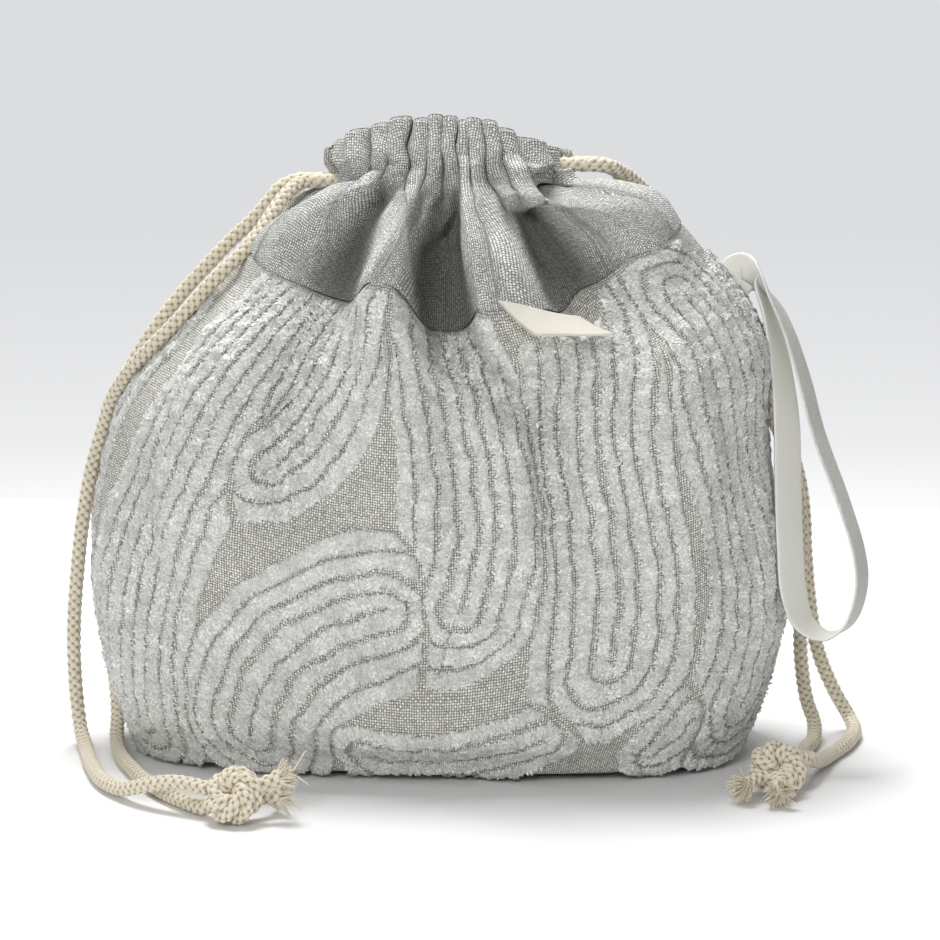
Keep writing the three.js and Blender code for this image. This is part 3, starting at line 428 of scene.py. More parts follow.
# Yarns of the frayed ends, and two long ones on the left
YARN_SHARES = (0.0, 0.35, 0.7, 1.0)
YARN_RADII = (1.0, 1.0, 0.9, 0.35)
YARN_SIDES = 4
YARN_REFERENCE = (0.31, 0.52, 0.79)
FRAY_YARNS = 110
FRAY_LENGTHS = (2.6, 5.6)
FRAY_SPREAD = 0.25
FRAY_SCATTER = 0.22
FRAY_CURL = 0.5
FRAY_RADIUS = 0.32
LONG_YARN_WAYS = ((0.5, 0.1, 0.85), (0.8, -0.3, -0.5))
LONG_YARN_LENGTHS = ((8.0,), (6.0,))
LONG_YARN_CURL = (1.0, 0.4, 0.7)
LONG_YARN_START = 3
LONG_YARN_RADIUS = 0.3

# Wrist strap: middle of the ribbon and the direction of its width, from the seam round and back to the seam
STRAP_PATH = np.array([
    [100.7, 1.15, 166.4, 0.6, 0, -0.8],
    [103.9, 1.15, 168.2, 0.6, 0.05, -0.8],
    [108.6, 0.4, 164.6, 0.5, 0.4, -0.76],
    [113, -2.4, 154.6, 0.42, 0.8, -0.42],
    [116.8, -7, 139, 0.5, 0.86, -0.08],
    [119.2, -12, 119, 0.62, 0.78, 0],
    [119.8, -18, 98, 0.64, 0.77, 0],
    [120.6, -23, 78, 0.64, 0.77, 0],
    [122, -26, 62, 0.62, 0.78, 0],
    [126, -27, 51.5, 0.52, 0.85, 0],
    [134, -27, 47.6, 0.4, 0.92, 0],
    [141.4, -26, 52, 0.34, 0.94, 0],
    [145, -24, 63, 0.32, 0.95, 0],
    [144.2, -20.5, 75, 0.3, 0.95, 0],
    [138.8, -16, 92, 0.3, 0.95, 0],
    [130.4, -11, 114, 0.3, 0.95, 0.02],
    [125.4, -8, 132, 0.3, 0.95, 0.02],
    [119.4, -5.4, 150, 0.3, 0.9, -0.2],
    [112, -3.4, 163, 0.5, 0.5, -0.7],
    [103.9, -1.15, 168.8, 0.6, -0.05, -0.8],
    [100.7, -1.15, 166.4, 0.6, 0, -0.8],
])
# The strap is sewn up to the first point and hangs free from the second
STRAP_ROWS = 360
STRAP_SIDES = 28
STRAP_EDGE_POWER = 0.35
STRAP_FACE_POWER = 0.5
STRAP_EDGE_SHARES = (0.93, 0.99)

# Label: the two ends of its sewn edge and of its folded edge
LABEL_ROOT = np.array([[22.7, -59.5, 164.3], [49.7, -53.5, 158.8]])
LABEL_FOLD = np.array([[34.7, -68, 154.5], [60.6, -63, 154.3]])
LABEL_WIDTH = 28
LABEL_COLUMNS = 30
LABEL_ROWS = 22
LABEL_BEND_ROWS = 9
LABEL_BEND_BULGE = 0.05
LABEL_GAP = 0.75
LABEL_ROOT_GAP_SHARE = 0.35
LABEL_SAG = 0.64
LABEL_WAVE = 0.5
LABEL_WAVES = 0.9
LABEL_WAVE_PHASE = 0.6
LABEL_THICKNESS = 0.0004

# Under the label the cloth is free of pile: middle along x, half width and length below the seam
LABEL_MIDDLE = 40.0
LABEL_CLEAR_HALF = 14.0
LABEL_CLEAR_LENGTH = 10.0

# Weave: size of its wobble and slubs in turns per millimetre, shift of the threads, shares of the tone
WEAVE_WOBBLE = 0.35
WEAVE_SHIFT = (0.9, 0.9, 0.0)
WEAVE_SLUB = 0.5
WEAVE_TOP_TONE = 0.3
WEAVE_FLECK_TONE = 0.55
WEAVE_SLUB_TONE = 0.5
WEAVE_TONE_DROP = 0.12
# Painted shade between the threads: how fast the colour grows with the weave's height, and the least share
# left
WEAVE_GAP_SHADE_SLOPE = 1.45
WEAVE_GAP_SHADE_LEAST = 0.14

# Fuzz of the cords: size of its clumps, shares of both sizes, and the lightness from its height,
# partly random tone and partly painted shade
FUZZ_CLUMP_FINENESS = 0.28
FUZZ_FINE_SHARE = 0.6
FUZZ_CLUMP_SHARE = 0.4
FUZZ_TONE_AND_SHADE = (2.2, -0.6)

# Pile in the finish: turns of its noises per millimetre, shift of the ragged edge, ranges over which the
# edge and the cover fade, shares of bundles and clumps, and the lightness from the height, partly random tone
# and partly painted shade
YARN_EDGE_NOISE = 0.9
YARN_BUNDLE_NOISE = 1.1
YARN_CLUMP_NOISE = 0.3
YARN_EDGE_SHIFT = (0.5, -0.25)
YARN_EDGE_RANGE = (0.94, 1.06)
YARN_COVER_RANGE = (0.25, 0.6)
YARN_BUNDLE_SHARE = 0.75
YARN_CLUMP_SHARE = 0.35
YARN_TONE_AND_SHADE = (2.4, -0.85)

# Leather grain: size of the folds, width of the creases and shares of both
GRAIN_FOLD_FINENESS = 0.35
GRAIN_CREASE_WIDTH = 0.22
GRAIN_CELL_SHARE = 0.7
GRAIN_FOLD_SHARE = 0.5

# Roughness and sheen of each finish
FINISHES = {
    "plain_cloth": (0.95, 0.1),
    "tufted_cloth": (0.98, 0.15),
    "pile_locks": (1.0, 0.0),
    "lining_cloth": (0.9, 0.0),
    "facing_cloth": (0.95, 0.1),
    "cotton_cord": (0.92, 0.2),
    "strap_leather": (0.55, 0.0),
    "label_cloth": (0.8, 0.1),
    "floor_paint": (0.9, 0.0),
}

# Finishes: painted shade of the hollows, tints, shares of the main colour (the gap shares and the groove
# colour paint shade between threads and stitches), and bump heights in metres
BAND_HOLLOW_SHADE = -0.68
BODY_HOLLOW_SHADE = -0.25
GROUND_TINT = (0.81, 0.80, 0.765)
GROUND_PITCH_SHARE = 0.92
GROUND_BUMP_SHARE = 0.25
FINE_WEAVE_PITCH = 0.45
RIBBON_PITCH = 0.5
LINING_GAP_SHADE = 0.82
RIBBON_GAP_SHADE = 0.9
FACING_TURN_IN = 4.0
GROOVE_SHADE_TINT = (0.34, 0.29, 0.21)
GROOVE_SHADE_RANGE = (0.2, 0.72)
FUZZ_FINENESS = 1900.0
FUZZ_DARK = (0.84, 0.82, 0.78)
FUZZ_LIGHT = (1.12, 1.12, 1.12)
GRAIN_FINENESS = 1100.0
LEATHER_BACK_SHARE = 1.12
LEATHER_CREASE_SHARE = 0.7
LEATHER_CUT_EDGE = (0.86, 0.86, 0.84)
SPECULAR_LEVEL = 0.25
BAND_BUMP = 0.0005
TUFT_BUMP = 0.0009
FACING_BUMP = 0.0003
CORD_BUMP = 0.0003
LEATHER_BUMP = 0.0003
FINE_BUMP = 0.0001

# Stage: lamps with their place, size and power setting, the point they aim at, the floor's corners, and the
# backdrop's colours between the upward slopes at which it turns from white to the wall's colour
LAMPS = (
    ("key_lamp", (-0.15, 0.22, 1.2), 0.5, "key_power"),
    ("back_lamp", (0.1, 1.0, 1.3), 0.8, "back_power"),
    ("fill_lamp", (-0.25, -1.6, 0.85), 0.6, "fill_power"),
)
LAMP_AIM = (0.0, 0.0, 0.1)
FLOOR_X = (-3000.0, 3000.0)
FLOOR_Y = (-3000.0, 520.0)
BACKDROP_SLOPES = (-0.166, -0.079)
BACKDROP_STOPS = ((0.25, (0.85, 0.853, 0.86)), (0.6, (0.775, 0.78, 0.79)))
CAMERA_REACH = 20.0
WHITE = (1.0, 1.0, 1.0, 1.0)


class ClothSettings(bpy.types.PropertyGroup):
    """Sizes and colours of the bag's cloth."""
    pile_height: FloatProperty(
        name="Pile height", description="Height of the tufted lines above the ground weave",
        default=0.0014, unit="LENGTH")
    grid_step: FloatProperty(
        name="Cloth grid", description="Spacing of the points of the tufted panels",
        default=0.00077, unit="LENGTH")
    locks: IntProperty(
        name="Pile locks", description="Cut yarn ends in each part of the pile", default=49000)
    weave_pitch: FloatProperty(
        name="Weave pitch", description="Spacing of the threads of the band and the ground weave",
        default=0.00095, unit="LENGTH")
    tuft_dark: FloatVectorProperty(
        name="Dark tuft", description="Darkest yarn ends of the pile", subtype="COLOR", size=3,
        default=(0.52, 0.52, 0.49))
    tuft_light: FloatVectorProperty(
        name="Light tuft", description="Lightest yarn ends of the pile", subtype="COLOR", size=3,
        default=(1.0, 1.0, 0.98))
    thread_dark: FloatVectorProperty(
        name="Dark thread", description="Darkest threads of the weave", subtype="COLOR", size=3,
        default=(0.40, 0.395, 0.37))
    thread_light: FloatVectorProperty(
        name="Light thread", description="Lightest threads of the weave", subtype="COLOR", size=3,
        default=(1.0, 1.0, 0.97))
    lining_colour: FloatVectorProperty(
        name="Lining colour", description="Colour of the lining", subtype="COLOR", size=3,
        default=(0.82, 0.81, 0.72))


class TrimSettings(bpy.types.PropertyGroup):
    """Sizes and colours of the cords, the strap and the label."""
    cord_diameter: FloatProperty(
        name="Cord diameter", description="Diameter of the braided drawcords", default=0.0052, unit="LENGTH")
    braid_length: FloatProperty(
        name="Braid length", description="Length of one stitch of the braid", default=0.0031, unit="LENGTH")
    cord_colour: FloatVectorProperty(
        name="Cord colour", description="Colour of the natural cotton", subtype="COLOR", size=3,
        default=(0.80, 0.74, 0.61))
    strap_width: FloatProperty(
        name="Strap width", description="Width of the wrist strap", default=0.014, unit="LENGTH")
    strap_thickness: FloatProperty(
        name="Strap thickness", description="Thickness of the wrist strap", default=0.0014, unit="LENGTH")
    strap_colour: FloatVectorProperty(
        name="Strap colour", description="Colour of the strap's grained face", subtype="COLOR", size=3,
        default=(0.74, 0.74, 0.69))
    label_colour: FloatVectorProperty(
        name="Label colour", description="Colour of the bare label", subtype="COLOR", size=3,
        default=(0.76, 0.73, 0.64))


class StageSettings(bpy.types.PropertyGroup):
    """Camera, lamps and floor."""
    lens: FloatProperty(name="Lens", description="Focal length for a 36 mm sensor", default=121.8)
    camera_place: FloatVectorProperty(
        name="Camera place", description="Where the camera stands", size=3, subtype="XYZ",
        default=(0.08623, -1.09732, 0.27))
    camera_aim: FloatVectorProperty(
        name="Camera aim", description="The point that the camera looks at", size=3, subtype="XYZ",
        default=(0.0095, 0.0, 0.099))
    low_light: FloatProperty(
        name="Low room light", description="Strength of the room's light from the horizon", default=0.06)
    high_light: FloatProperty(
        name="High room light", description="Strength of the room's light from straight above", default=0.35)
    key_power: FloatProperty(
        name="Key lamp", description="Power of the lamp above", default=14.0, unit="POWER")
    back_power: FloatProperty(
        name="Back lamp", description="Power of the lamp over the far end of the floor",
        default=5.0, unit="POWER")
    fill_power: FloatProperty(
        name="Fill lamp", description="Power of the lamp in front", default=11.5, unit="POWER")
    floor_colour: FloatVectorProperty(
        name="Floor colour", description="Colour of the floor", subtype="COLOR", size=3,
        default=(0.9, 0.9, 0.905))
    wall_colour: FloatVectorProperty(
        name="Wall colour", description="Colour of the backdrop's upper part", subtype="COLOR", size=3,
        default=(0.716, 0.723, 0.738))


# Shapes worked out as whole arrays
def smooth_step(low, high, value):
    """Rises from 0 at low to 1 at high along a cubic with flat ends."""
    share = np.clip((value - low) / (high - low), 0.0, 1.0)
    return share * share * (3.0 - 2.0 * share)


def unit(vectors):
    """Each vector divided by its length."""
    return vectors / np.maximum(np.linalg.norm(vectors, axis=-1, keepdims=True), 1e-9)


def through_points(points, place):
    """Smooth curve: between two points a cubic whose end slopes are half the step between the neighbours."""
    points = np.asarray(points, float)
    ends = np.vstack([2 * points[0] - points[1], points, 2 * points[-1] - points[-2]])
    k = np.clip(np.floor(place).astype(int), 0, len(points) - 2)
    f = (place - k)[..., None]
    a, b, c, d = ends[k], ends[k + 1], ends[k + 2], ends[k + 3]
    return b + f / 2 * (c - a + f * (2 * a - 5 * b + 4 * c - d + f * (3 * (b - c) + d - a)))


def running_length(line):
    """Distance along a line of points from its first point."""
    steps = np.linalg.norm(np.diff(line, axis=0), axis=-1)
    return np.concatenate([np.zeros((1,) + steps.shape[1:]), np.cumsum(steps, axis=0)])


def even_line(points, step):
    """Cubic pieces through the points, timed by the square root of each span, then spaced evenly."""
    points = np.asarray(points, float)
    span = np.sqrt(np.linalg.norm(np.diff(points, axis=0), axis=1))
    time = np.concatenate([[0.0], np.cumsum(span)])
    slope = np.diff(points, axis=0) / span[:, None]
    before = span[:-1, None]
    after = span[1:, None]
    inner = (slope[:-1] * after + slope[1:] * before) / (before + after)
    slopes = np.vstack([slope[:1], inner, slope[-1:]])
    fine = np.linspace(0.0, time[-1], ROUTE_SAMPLES * len(points))
    k = np.clip(np.searchsorted(time, fine, side="right") - 1, 0, len(span) - 1)
    f = ((fine - time[k]) / span[k])[:, None]
    h = span[k][:, None]
    line = (points[k] * (1 + 2 * f) * (1 - f) ** 2 + slopes[k] * h * f * (1 - f) ** 2
            + points[k + 1] * f * f * (3 - 2 * f) + slopes[k + 1] * h * f * f * (f - 1))
    run = running_length(line)
    wanted = np.linspace(0.0, run[-1], int(run[-1] / step) + 2)
    return np.stack([np.interp(wanted, run, line[:, axis]) for axis in range(3)], axis=1)


def lattice_noise(x, y, seed):
    """Smooth noise from -1 to 1: random values at whole coordinates, blended by a cubic step."""
    table = np.random.default_rng(seed).uniform(-1.0, 1.0, (NOISE_SIZE, NOISE_SIZE))
    xi = np.floor(x).astype(int)
    yi = np.floor(y).astype(int)
    fx = smooth_step(0.0, 1.0, x - xi)
    fy = smooth_step(0.0, 1.0, y - yi)
    left = xi % NOISE_SIZE
    right = (xi + 1) % NOISE_SIZE
    near = yi % NOISE_SIZE
    far = (yi + 1) % NOISE_SIZE
    low = table[left, near] * (1 - fx) + table[right, near] * fx
    high = table[left, far] * (1 - fx) + table[right, far] * fx
    return low * (1 - fy) + high * fy


def plan_outline(angles, level):
    """Squared oval of the plan: half width and half depth times the radius that the squareness gives."""
    height, left, right, depth, power = (level[..., k, None] for k in range(5))
    c = np.cos(angles)
    s = np.sin(angles)
    radius = (np.abs(c) ** power + np.abs(s) ** power) ** (-1 / power)
    x = np.where(c >= 0, right, left) * radius * c
    return np.stack(np.broadcast_arrays(x, -depth * radius * s, height), axis=-1)


def even_angles(count):
    """Angles from the right seam over the front to the left seam, evenly spaced along the belly, and the
    distance of each to the right of the front middle."""
    fine = np.linspace(0.0, np.pi, OUTLINE_SAMPLES)
    belly = plan_outline(fine, through_points(LEVELS, np.array([BELLY_LEVEL]))[0])
    run = running_length(belly)
    middle = np.interp(np.pi / 2, fine, run)
    spaced = np.linspace(0.0, run[-1], count)
    return np.interp(spaced, run, fine), middle - spaced


def band_end(angles):
    """Length of the band from the rim to its seam: shorter towards the side seams."""
    c = np.cos(angles)
    left = BAND_RISE_LEFT * np.clip(-c, 0.0, 1.0) ** BAND_RISE_POWER
    right = BAND_RISE_RIGHT * np.clip(c, 0.0, 1.0) ** BAND_RISE_POWER
    return BAND_LENGTH - left - right


def wall_lines(angles):
    """Lines down the wall from the rim to the base edge at these angles, and the length run along each."""
    place = np.linspace(len(LEVELS) - 1.0, 0.0, WALL_SAMPLES + 1)
    line = plan_outline(angles, through_points(LEVELS, place))
    return line, running_length(line)


def along_walls(line, run, lengths):
    """Points of the wall lines at these lengths from the rim, straight between neighbouring samples."""
    wanted = np.clip(lengths, 0.0, run[-1])
    k = np.clip((run[None] < wanted[:, None]).sum(axis=1), 1, len(run) - 1)
    before = np.take_along_axis(run, k - 1, axis=0)
    after = np.take_along_axis(run, k, axis=0)
    f = ((wanted - before) / (after - before))[..., None]
    low = np.take_along_axis(line, (k - 1)[..., None], axis=0)
    high = np.take_along_axis(line, k[..., None], axis=0)
    return low + f * (high - low)


def surface_frame(points):
    """Outward normals and the directions along rows and columns, from differences of neighbouring points."""
    across = unit(np.gradient(points, axis=1))
    down = unit(np.gradient(points, axis=0))
    return unit(np.cross(across, down)), across, down


def least_nearby(values, rows, columns):
    """Least value within this many rows and columns of each place in a grid."""
    wide = np.pad(values, ((rows, rows), (columns, columns)), mode="edge")
    view = np.lib.stride_tricks.sliding_window_view(wide, (2 * rows + 1, 2 * columns + 1))
    return view.min(axis=(-2, -1))


def fold_shift(folds, x, z):
    """Sum of the folds: each is a rounded bank across its own line, with a height, a lean and a lift."""
    total = np.zeros(x.shape + (3,))
    for fold in folds:
        row = through_points(fold, np.linspace(0, len(fold) - 1, FOLD_SAMPLES * (len(fold) - 1) + 1))
        reach = FOLD_REACH * row[:, 2].max()
        near = ((x > row[:, 0].min() - reach) & (x < row[:, 0].max() + reach)
                & (z > row[:, 1].min() - reach) & (z < row[:, 1].max() + reach))
        gap = (x[near][:, None] - row[:, 0]) ** 2 + (z[near][:, None] - row[:, 1]) ** 2
        k = gap.argmin(axis=1)
        distance = np.sqrt(np.take_along_axis(gap, k[:, None], axis=1)[:, 0])
        bell = np.exp(-(distance / row[k, 2]) ** FOLD_POWER)
        total[near] += FOLD_STRENGTH * bell[:, None] * row[k, 3:]
    return total


def header_lobes(angles, lengths, lobes):
    """Gathers: between two creases that sway a little, a rounded lobe whose flanks slide over the creases.
    Returns crown share, outward rise, slide along the neck, rise of the rim and lean."""
    fine = np.linspace(0.0, np.pi, OUTLINE_SAMPLES)
    neck = plan_outline(fine, through_points(LEVELS, np.array([NECK_LEVEL]))[0])
    run = running_length(neck)
    rows = lobes[::-1]
    starts = np.interp(-rows[:, 1], -neck[:, 0], run)
    ends = np.interp(-rows[:, 0], -neck[:, 0], run)
    here = np.interp(angles, fine, run) * np.ones_like(lengths)
    edge = smooth_step(0.0, LOBE_EDGE, np.minimum(here, run[-1] - here))
    down = lengths / LOBE_SWAY_LENGTH
    uneven = 1 + LOBE_UNEVEN * lattice_noise(here / LOBE_SWAY_LENGTH, down, SEED_LOBE_UNEVEN)
    here = here + edge * LOBE_SWAY * lattice_noise(here / LOBE_SWAY_LENGTH, down, SEED_LOBE_SWAY)
    k = np.clip(np.searchsorted(starts, here, side="right") - 1, 0, len(rows) - 1)
    arc = ends[k] - starts[k]
    f = np.clip((here - starts[k]) / arc, 0.0, 1.0)
    crown = np.sin(np.pi * f) ** LOBE_ROUNDNESS
    rise = rows[k, 2] * uneven * (crown - LOBE_SINK)
    slide = -LOBE_OVERHANG * arc * np.sin(2 * np.pi * f) / (2 * np.pi)
    crown = crown * edge + LOBE_SINK * (1 - edge)
    return crown, rise * edge, slide * edge, rows[k, 3] * edge, rows[k, 4] * edge


def cloth_points(is_front, angles, lengths, depth):
    """The bag's cloth: wall points moved along their normals by the gathers, the sag above the base and the
    dent in the right side, minus the depth, moved level outwards by the folds, and drawn in and down towards
    the rim. Returns the points and the painted shade of each, from 0 to 1, darker in the fold hollows and in
    the header's creases."""
    line, run = wall_lines(angles)
    wall = along_walls(line, run, lengths)
    normal, across, _ = surface_frame(wall)
    x = wall[..., 0] if is_front else wall[..., 0] * BACK_MIRROR + BACK_SHIFT
    fold = fold_shift(FRONT_FOLDS, x, wall[..., 2])
    side_gap = np.minimum(np.abs(wall[..., 0] - wall[:, :1, 0]), np.abs(wall[..., 0] - wall[:, -1:, 0]))
    fold *= smooth_step(0.0, SIDE_SEAM_FADE, side_gap + np.abs(wall[..., 1]))[..., None]
    lobes = FRONT_LOBES if is_front else BACK_LOBES
    crown, rise, slide, rim_rise, lean = header_lobes(angles, lengths, lobes)
    gather = np.interp(lengths, LOBE_FADE_LENGTHS, LOBE_FADE_SHARES)
    header = 1 - smooth_step(0.0, PINCH_LENGTH, lengths)
    pinch = PINCH_DEPTH * np.exp(-((lengths - PINCH_LENGTH) / PINCH_WIDTH) ** 2)
    puff = PUFF_DEPTH * np.sin(np.pi * np.clip(lengths / PINCH_LENGTH, 0.0, 1.0))
    sag = SAG_DEPTH * np.exp(-((wall[..., 2] - SAG_HEIGHT) / SAG_SPREAD) ** 2)
    sag = sag * smooth_step(0.0, SAG_FOOT, wall[..., 2]) * np.sin(angles) ** 2
    dent = SIDE_DENT * np.exp(-((wall[..., 2] - SIDE_DENT_HEIGHT) / SIDE_DENT_SPREAD) ** 2)
    dent = dent * np.clip(np.cos(angles), 0.0, 1.0) ** SIDE_DENT_POWER
    out = sag + gather * rise + puff - pinch - dent - depth
    level = unit(normal * (1.0, 1.0, 0.0))
    points = wall + normal * out[..., None] + level * fold[..., :1] + across * (gather * slide)[..., None]
    points[..., 0] += (fold[..., 1] if is_front else -fold[..., 1]) + header * lean
    points[..., 0] *= 1 - header * RIM_NARROW
    points[..., 1] *= 1 - header * (RIM_CLOSE_FRONT if is_front else RIM_CLOSE_BACK)
    droop = RIM_DROOP * (wall[..., 0] / LEVELS[-1, 1]) ** 2
    droop = droop * (1 - smooth_step(0.0, RIM_DROOP_LENGTH, lengths))
    rim = rim_rise + LOBE_CROWN_RISE * (crown - LOBE_SINK) - RIM_DROP
    points[..., 2] += fold[..., 2] - droop + header * rim
    if not is_front:
        points[..., 1] *= -1
        middle = BACK_RIM_END_SHARE + (1 - BACK_RIM_END_SHARE) * np.sin(angles)
        points[..., 2] -= BACK_RIM_DROP * header * middle
    # Painted shade: the fold hollows and the creases between the header's lobes, from 0 to 1, darken the
    # colour
    crease = gather * np.clip(CREASE_SHADE_START - CREASE_SHADE_SLOPE * crown, 0.0, 1.0)
    hollow = np.clip(-fold[..., 0] / HOLLOW_SHADE_DEPTH, 0.0, 1.0) + crease
    return points, np.clip(hollow, 0.0, 1.0)


def tuft_core(nest):
    """Quadratic curve from a nest's first end to its second, drawn towards the bending point."""
    first, bend, second = np.asarray(nest[:6], float).reshape(3, 2)
    share = np.linspace(0.0, 1.0, CORE_SAMPLES)[:, None]
    return first * (1 - share) ** 2 + 2 * bend * share * (1 - share) + second * share ** 2


def tuft_field(right, above):
    """Tufted lines at even distances round the core of the nearest nest. Returns for each point the distance
    from the core counted in lines, the place along the line, the share left bare, and the cover, which is 0
    on the ground between two nests."""
    wave = TUFT_WARP_LENGTH
    small_u = right / TUFT_JITTER_LENGTH
    small_v = above / TUFT_JITTER_LENGTH
    over, up, phase = TUFT_WARP_RIGHT
    u = right + TUFT_WARP * np.sin(above / wave * up + right / wave * over + phase)
    over, up, phase = TUFT_WARP_UP
    v = above + TUFT_WARP * np.sin(right / wave * over + above / wave * up + phase)
    u = u + TUFT_JITTER * lattice_noise(small_u, small_v, SEED_TUFT_RIGHT)
    v = v + TUFT_JITTER * lattice_noise(small_u, small_v, SEED_TUFT_UP)
    place = np.stack([u.ravel(), v.ravel()], axis=1)
    every = np.arange(len(place))
    best = np.full(len(place), TUFT_FAR)
    second = np.full(len(place), TUFT_FAR)
    line = np.zeros(len(place))
    along = np.zeros(len(place))
    for index, nest in enumerate(TUFT_NESTS):
        count, pitch = nest[6:]
        core = tuft_core(nest)
        step = np.diff(core, axis=0)
        span = np.linalg.norm(step, axis=1)
        start = np.cumsum(span) - span
        reach = place[:, None] - core[None, :-1]
        share = np.clip((reach * step).sum(axis=2) / span ** 2, 0.0, 1.0)
        off = reach - share[..., None] * step
        k = (off ** 2).sum(axis=2).argmin(axis=1)
        away = off[every, k]
        way = step[k]
        gap = np.linalg.norm(away, axis=1)
        angle = np.arctan2(way[:, 0] * away[:, 1] - way[:, 1] * away[:, 0], (way * away).sum(axis=1))
        ring = (np.floor(gap / pitch) + 0.5) * pitch
        outside = gap - count * pitch
        closer = outside < best
        second = np.where(closer, best, np.minimum(second, outside))
        best = np.where(closer, outside, best)
        line = np.where(closer, LINES_PER_NEST * index + gap / pitch, line)
        along = np.where(closer, start[k] + share[every, k] * span[k] + ring * angle, along)
    rng = np.random.default_rng(SEED_TUFT_BARE)
    table = rng.uniform(BARE_LEAST, BARE_MOST, LINES_PER_NEST * len(TUFT_NESTS))
    bare = table[np.clip(line.astype(int), 0, len(table) - 1)]
    cover = smooth_step(TUFT_GROUND, TUFT_EDGE, (second - best) / 2) * smooth_step(TUFT_END, -TUFT_END, best)
    return [field.reshape(right.shape) for field in (line, along, bare, cover)]


def tuft_height(line, along, bare, cover):
    """Rounded ridge of each tufted line from 0 to 1, uneven along the line."""
    centre = np.abs(2 * (line - np.floor(line)) - 1)
    fine, coarse, ragged = (
        lattice_noise(along / length, line * turns, seed)
        for (length, turns), seed in ((TUFT_FINE, SEED_TUFT_FINE), (TUFT_COARSE, SEED_TUFT_COARSE),
                                      (TUFT_RAGGED, SEED_TUFT_RAGGED)))
    half = 1 - TUFT_BARE_SHARE * bare + TUFT_RAGGED_SHARE * ragged
    ridge = (1 - np.clip(centre / half, 0.0, 1.0) ** TUFT_FLATNESS) ** TUFT_SHOULDER
    return cover * ridge * (1 + TUFT_UNEVEN * (fine + coarse))


def tube_grid(line, normal, radius, sides):
    """Rings about a line: each point is the line's plus the radius times a turned normal; radius is one
    number per ring and side."""
    tangent = unit(np.gradient(line, axis=0))
    first = unit(normal - tangent * (normal * tangent).sum(axis=1, keepdims=True))
    other = np.cross(tangent, first)
    turn = np.linspace(0.0, 2 * np.pi, sides, endpoint=False)
    spoke = first[:, None] * np.cos(turn)[None, :, None] + other[:, None] * np.sin(turn)[None, :, None]
    return line[:, None] + spoke * radius[..., None]


def braid_turns(run, turn, stitch):
    """Place of a point on the two crossing sets of strands, counted in strands."""
    round_share = BRAID_STRANDS * turn / (2 * np.pi)
    return round_share + run / stitch, round_share - run / stitch


def braid_height(run, turn, stitch):
    """Height of a braid from 0 to 1: two crossing sets of strands, each bump one strand on top."""
    p, q = braid_turns(run, turn, stitch)
    fp = p - np.floor(p)
    fq = q - np.floor(q)
    even = (np.floor(p) + np.floor(q)) % 2 < 0.5
    long_way = np.where(even, fp, fq)
    short_way = np.where(even, fq, fp)
    across = np.sin(np.pi * short_way) ** BRAID_ACROSS_POWER
    return across * np.sin(np.pi * long_way) ** BRAID_ALONG_POWER


def braid_gap_shade(run, turn, stitch):
    """Painted shade in the gaps of a braid: 0 in the small holes where four stitches meet, 1 on the stitches.
    """
    p, q = braid_turns(run, turn, stitch)
    hole = (1 - np.abs(np.sin(np.pi * p))) * (1 - np.abs(np.sin(np.pi * q)))
    return 1 - hole ** BRAID_GAP_POWER


def grid_faces(rows, columns, wrap=False):
    """Four-cornered faces of a grid of points, row by row; wrap joins the last column to the first."""
    i = np.arange(rows - 1)[:, None]
    j = np.arange(columns if wrap else columns - 1)[None, :]
    k = (j + 1) % columns
    return np.stack([i * columns + j, i * columns + k, (i + 1) * columns + k, (i + 1) * columns + j],
                    axis=-1).reshape(-1, 4)


def closed_tube_faces(rows, sides):
    """Faces of a tube of rings with a flat face on both ends, as a list."""
    faces = grid_faces(rows, sides, True)[:, ::-1].tolist()
    faces.append(list(range(sides)))
    faces.append(list(range(rows * sides - 1, (rows - 1) * sides - 1, -1)))
    return faces


def with_base(wall, inward, height):
    """Wall rows followed by the base: from the wall's last row in to the bottom seam, at one height."""
    edge = wall[-1]
    x = edge[:, 0] * (1 - BOTTOM_SEAM_INSET * inward)
    y = edge[:, 1] * (1 - inward) + BOTTOM_SEAM_Y * inward
    base = np.stack(np.broadcast_arrays(x, y, np.full_like(inward, height)), axis=-1)
    return np.vstack([wall, base])


def rounded_edge(grid, row, reach):
    """Rounds the cloth's fold at one row: points near it are averaged along their columns again and again."""
    rows = np.arange(len(grid))[:, None, None]
    share = 0.5 * (1 - smooth_step(EDGE_FULL_SHARE * reach, reach, np.abs(rows - row)))
    for _ in range(int(reach * reach / EDGE_ROUNDS)):
        middle = (np.roll(grid, 1, axis=0) + np.roll(grid, -1, axis=0)) / 2
        middle[0] = grid[0]
        middle[-1] = grid[-1]
        grid = grid + share * (middle - grid)
    return grid


def joined(parts):
    """Several parts' points, faces and values as one, the faces counted on from part to part."""
    starts = np.cumsum([0] + [len(points) for points, _, _ in parts])
    faces = [[start + k for k in face] for start, (_, part, _) in zip(starts, parts) for face in part]
    return np.vstack([p for p, _, _ in parts]), faces, np.concatenate([v for _, _, v in parts])


def yarn_ends(root, way, length, curl, radius):
    """Thin yarns of four rings and four sides: each ring moves on along the way and bends by the curl."""
    count = len(root)
    share = np.array(YARN_SHARES)[None, :, None]
    middle = root[:, None] + way[:, None] * length[:, None] * share + curl[:, None] * share ** 2
    side = unit(np.cross(way, np.array(YARN_REFERENCE)))
    other = np.cross(way, side)
    turn = np.arange(YARN_SIDES) * np.pi / 2
    spoke = side[:, None] * np.cos(turn)[None, :, None] + other[:, None] * np.sin(turn)[None, :, None]
    thin = radius * np.array(YARN_RADII)[None, :, None, None]
    points = middle[:, :, None] + spoke[:, None] * thin
    one = grid_faces(len(YARN_SHARES), YARN_SIDES, True)[:, ::-1]
    size = len(YARN_SHARES) * YARN_SIDES
    faces = (one[None] + size * np.arange(count)[:, None, None]).reshape(-1, 4).tolist()
    return points.reshape(-1, 3), faces, np.full(count * size, 1.0)


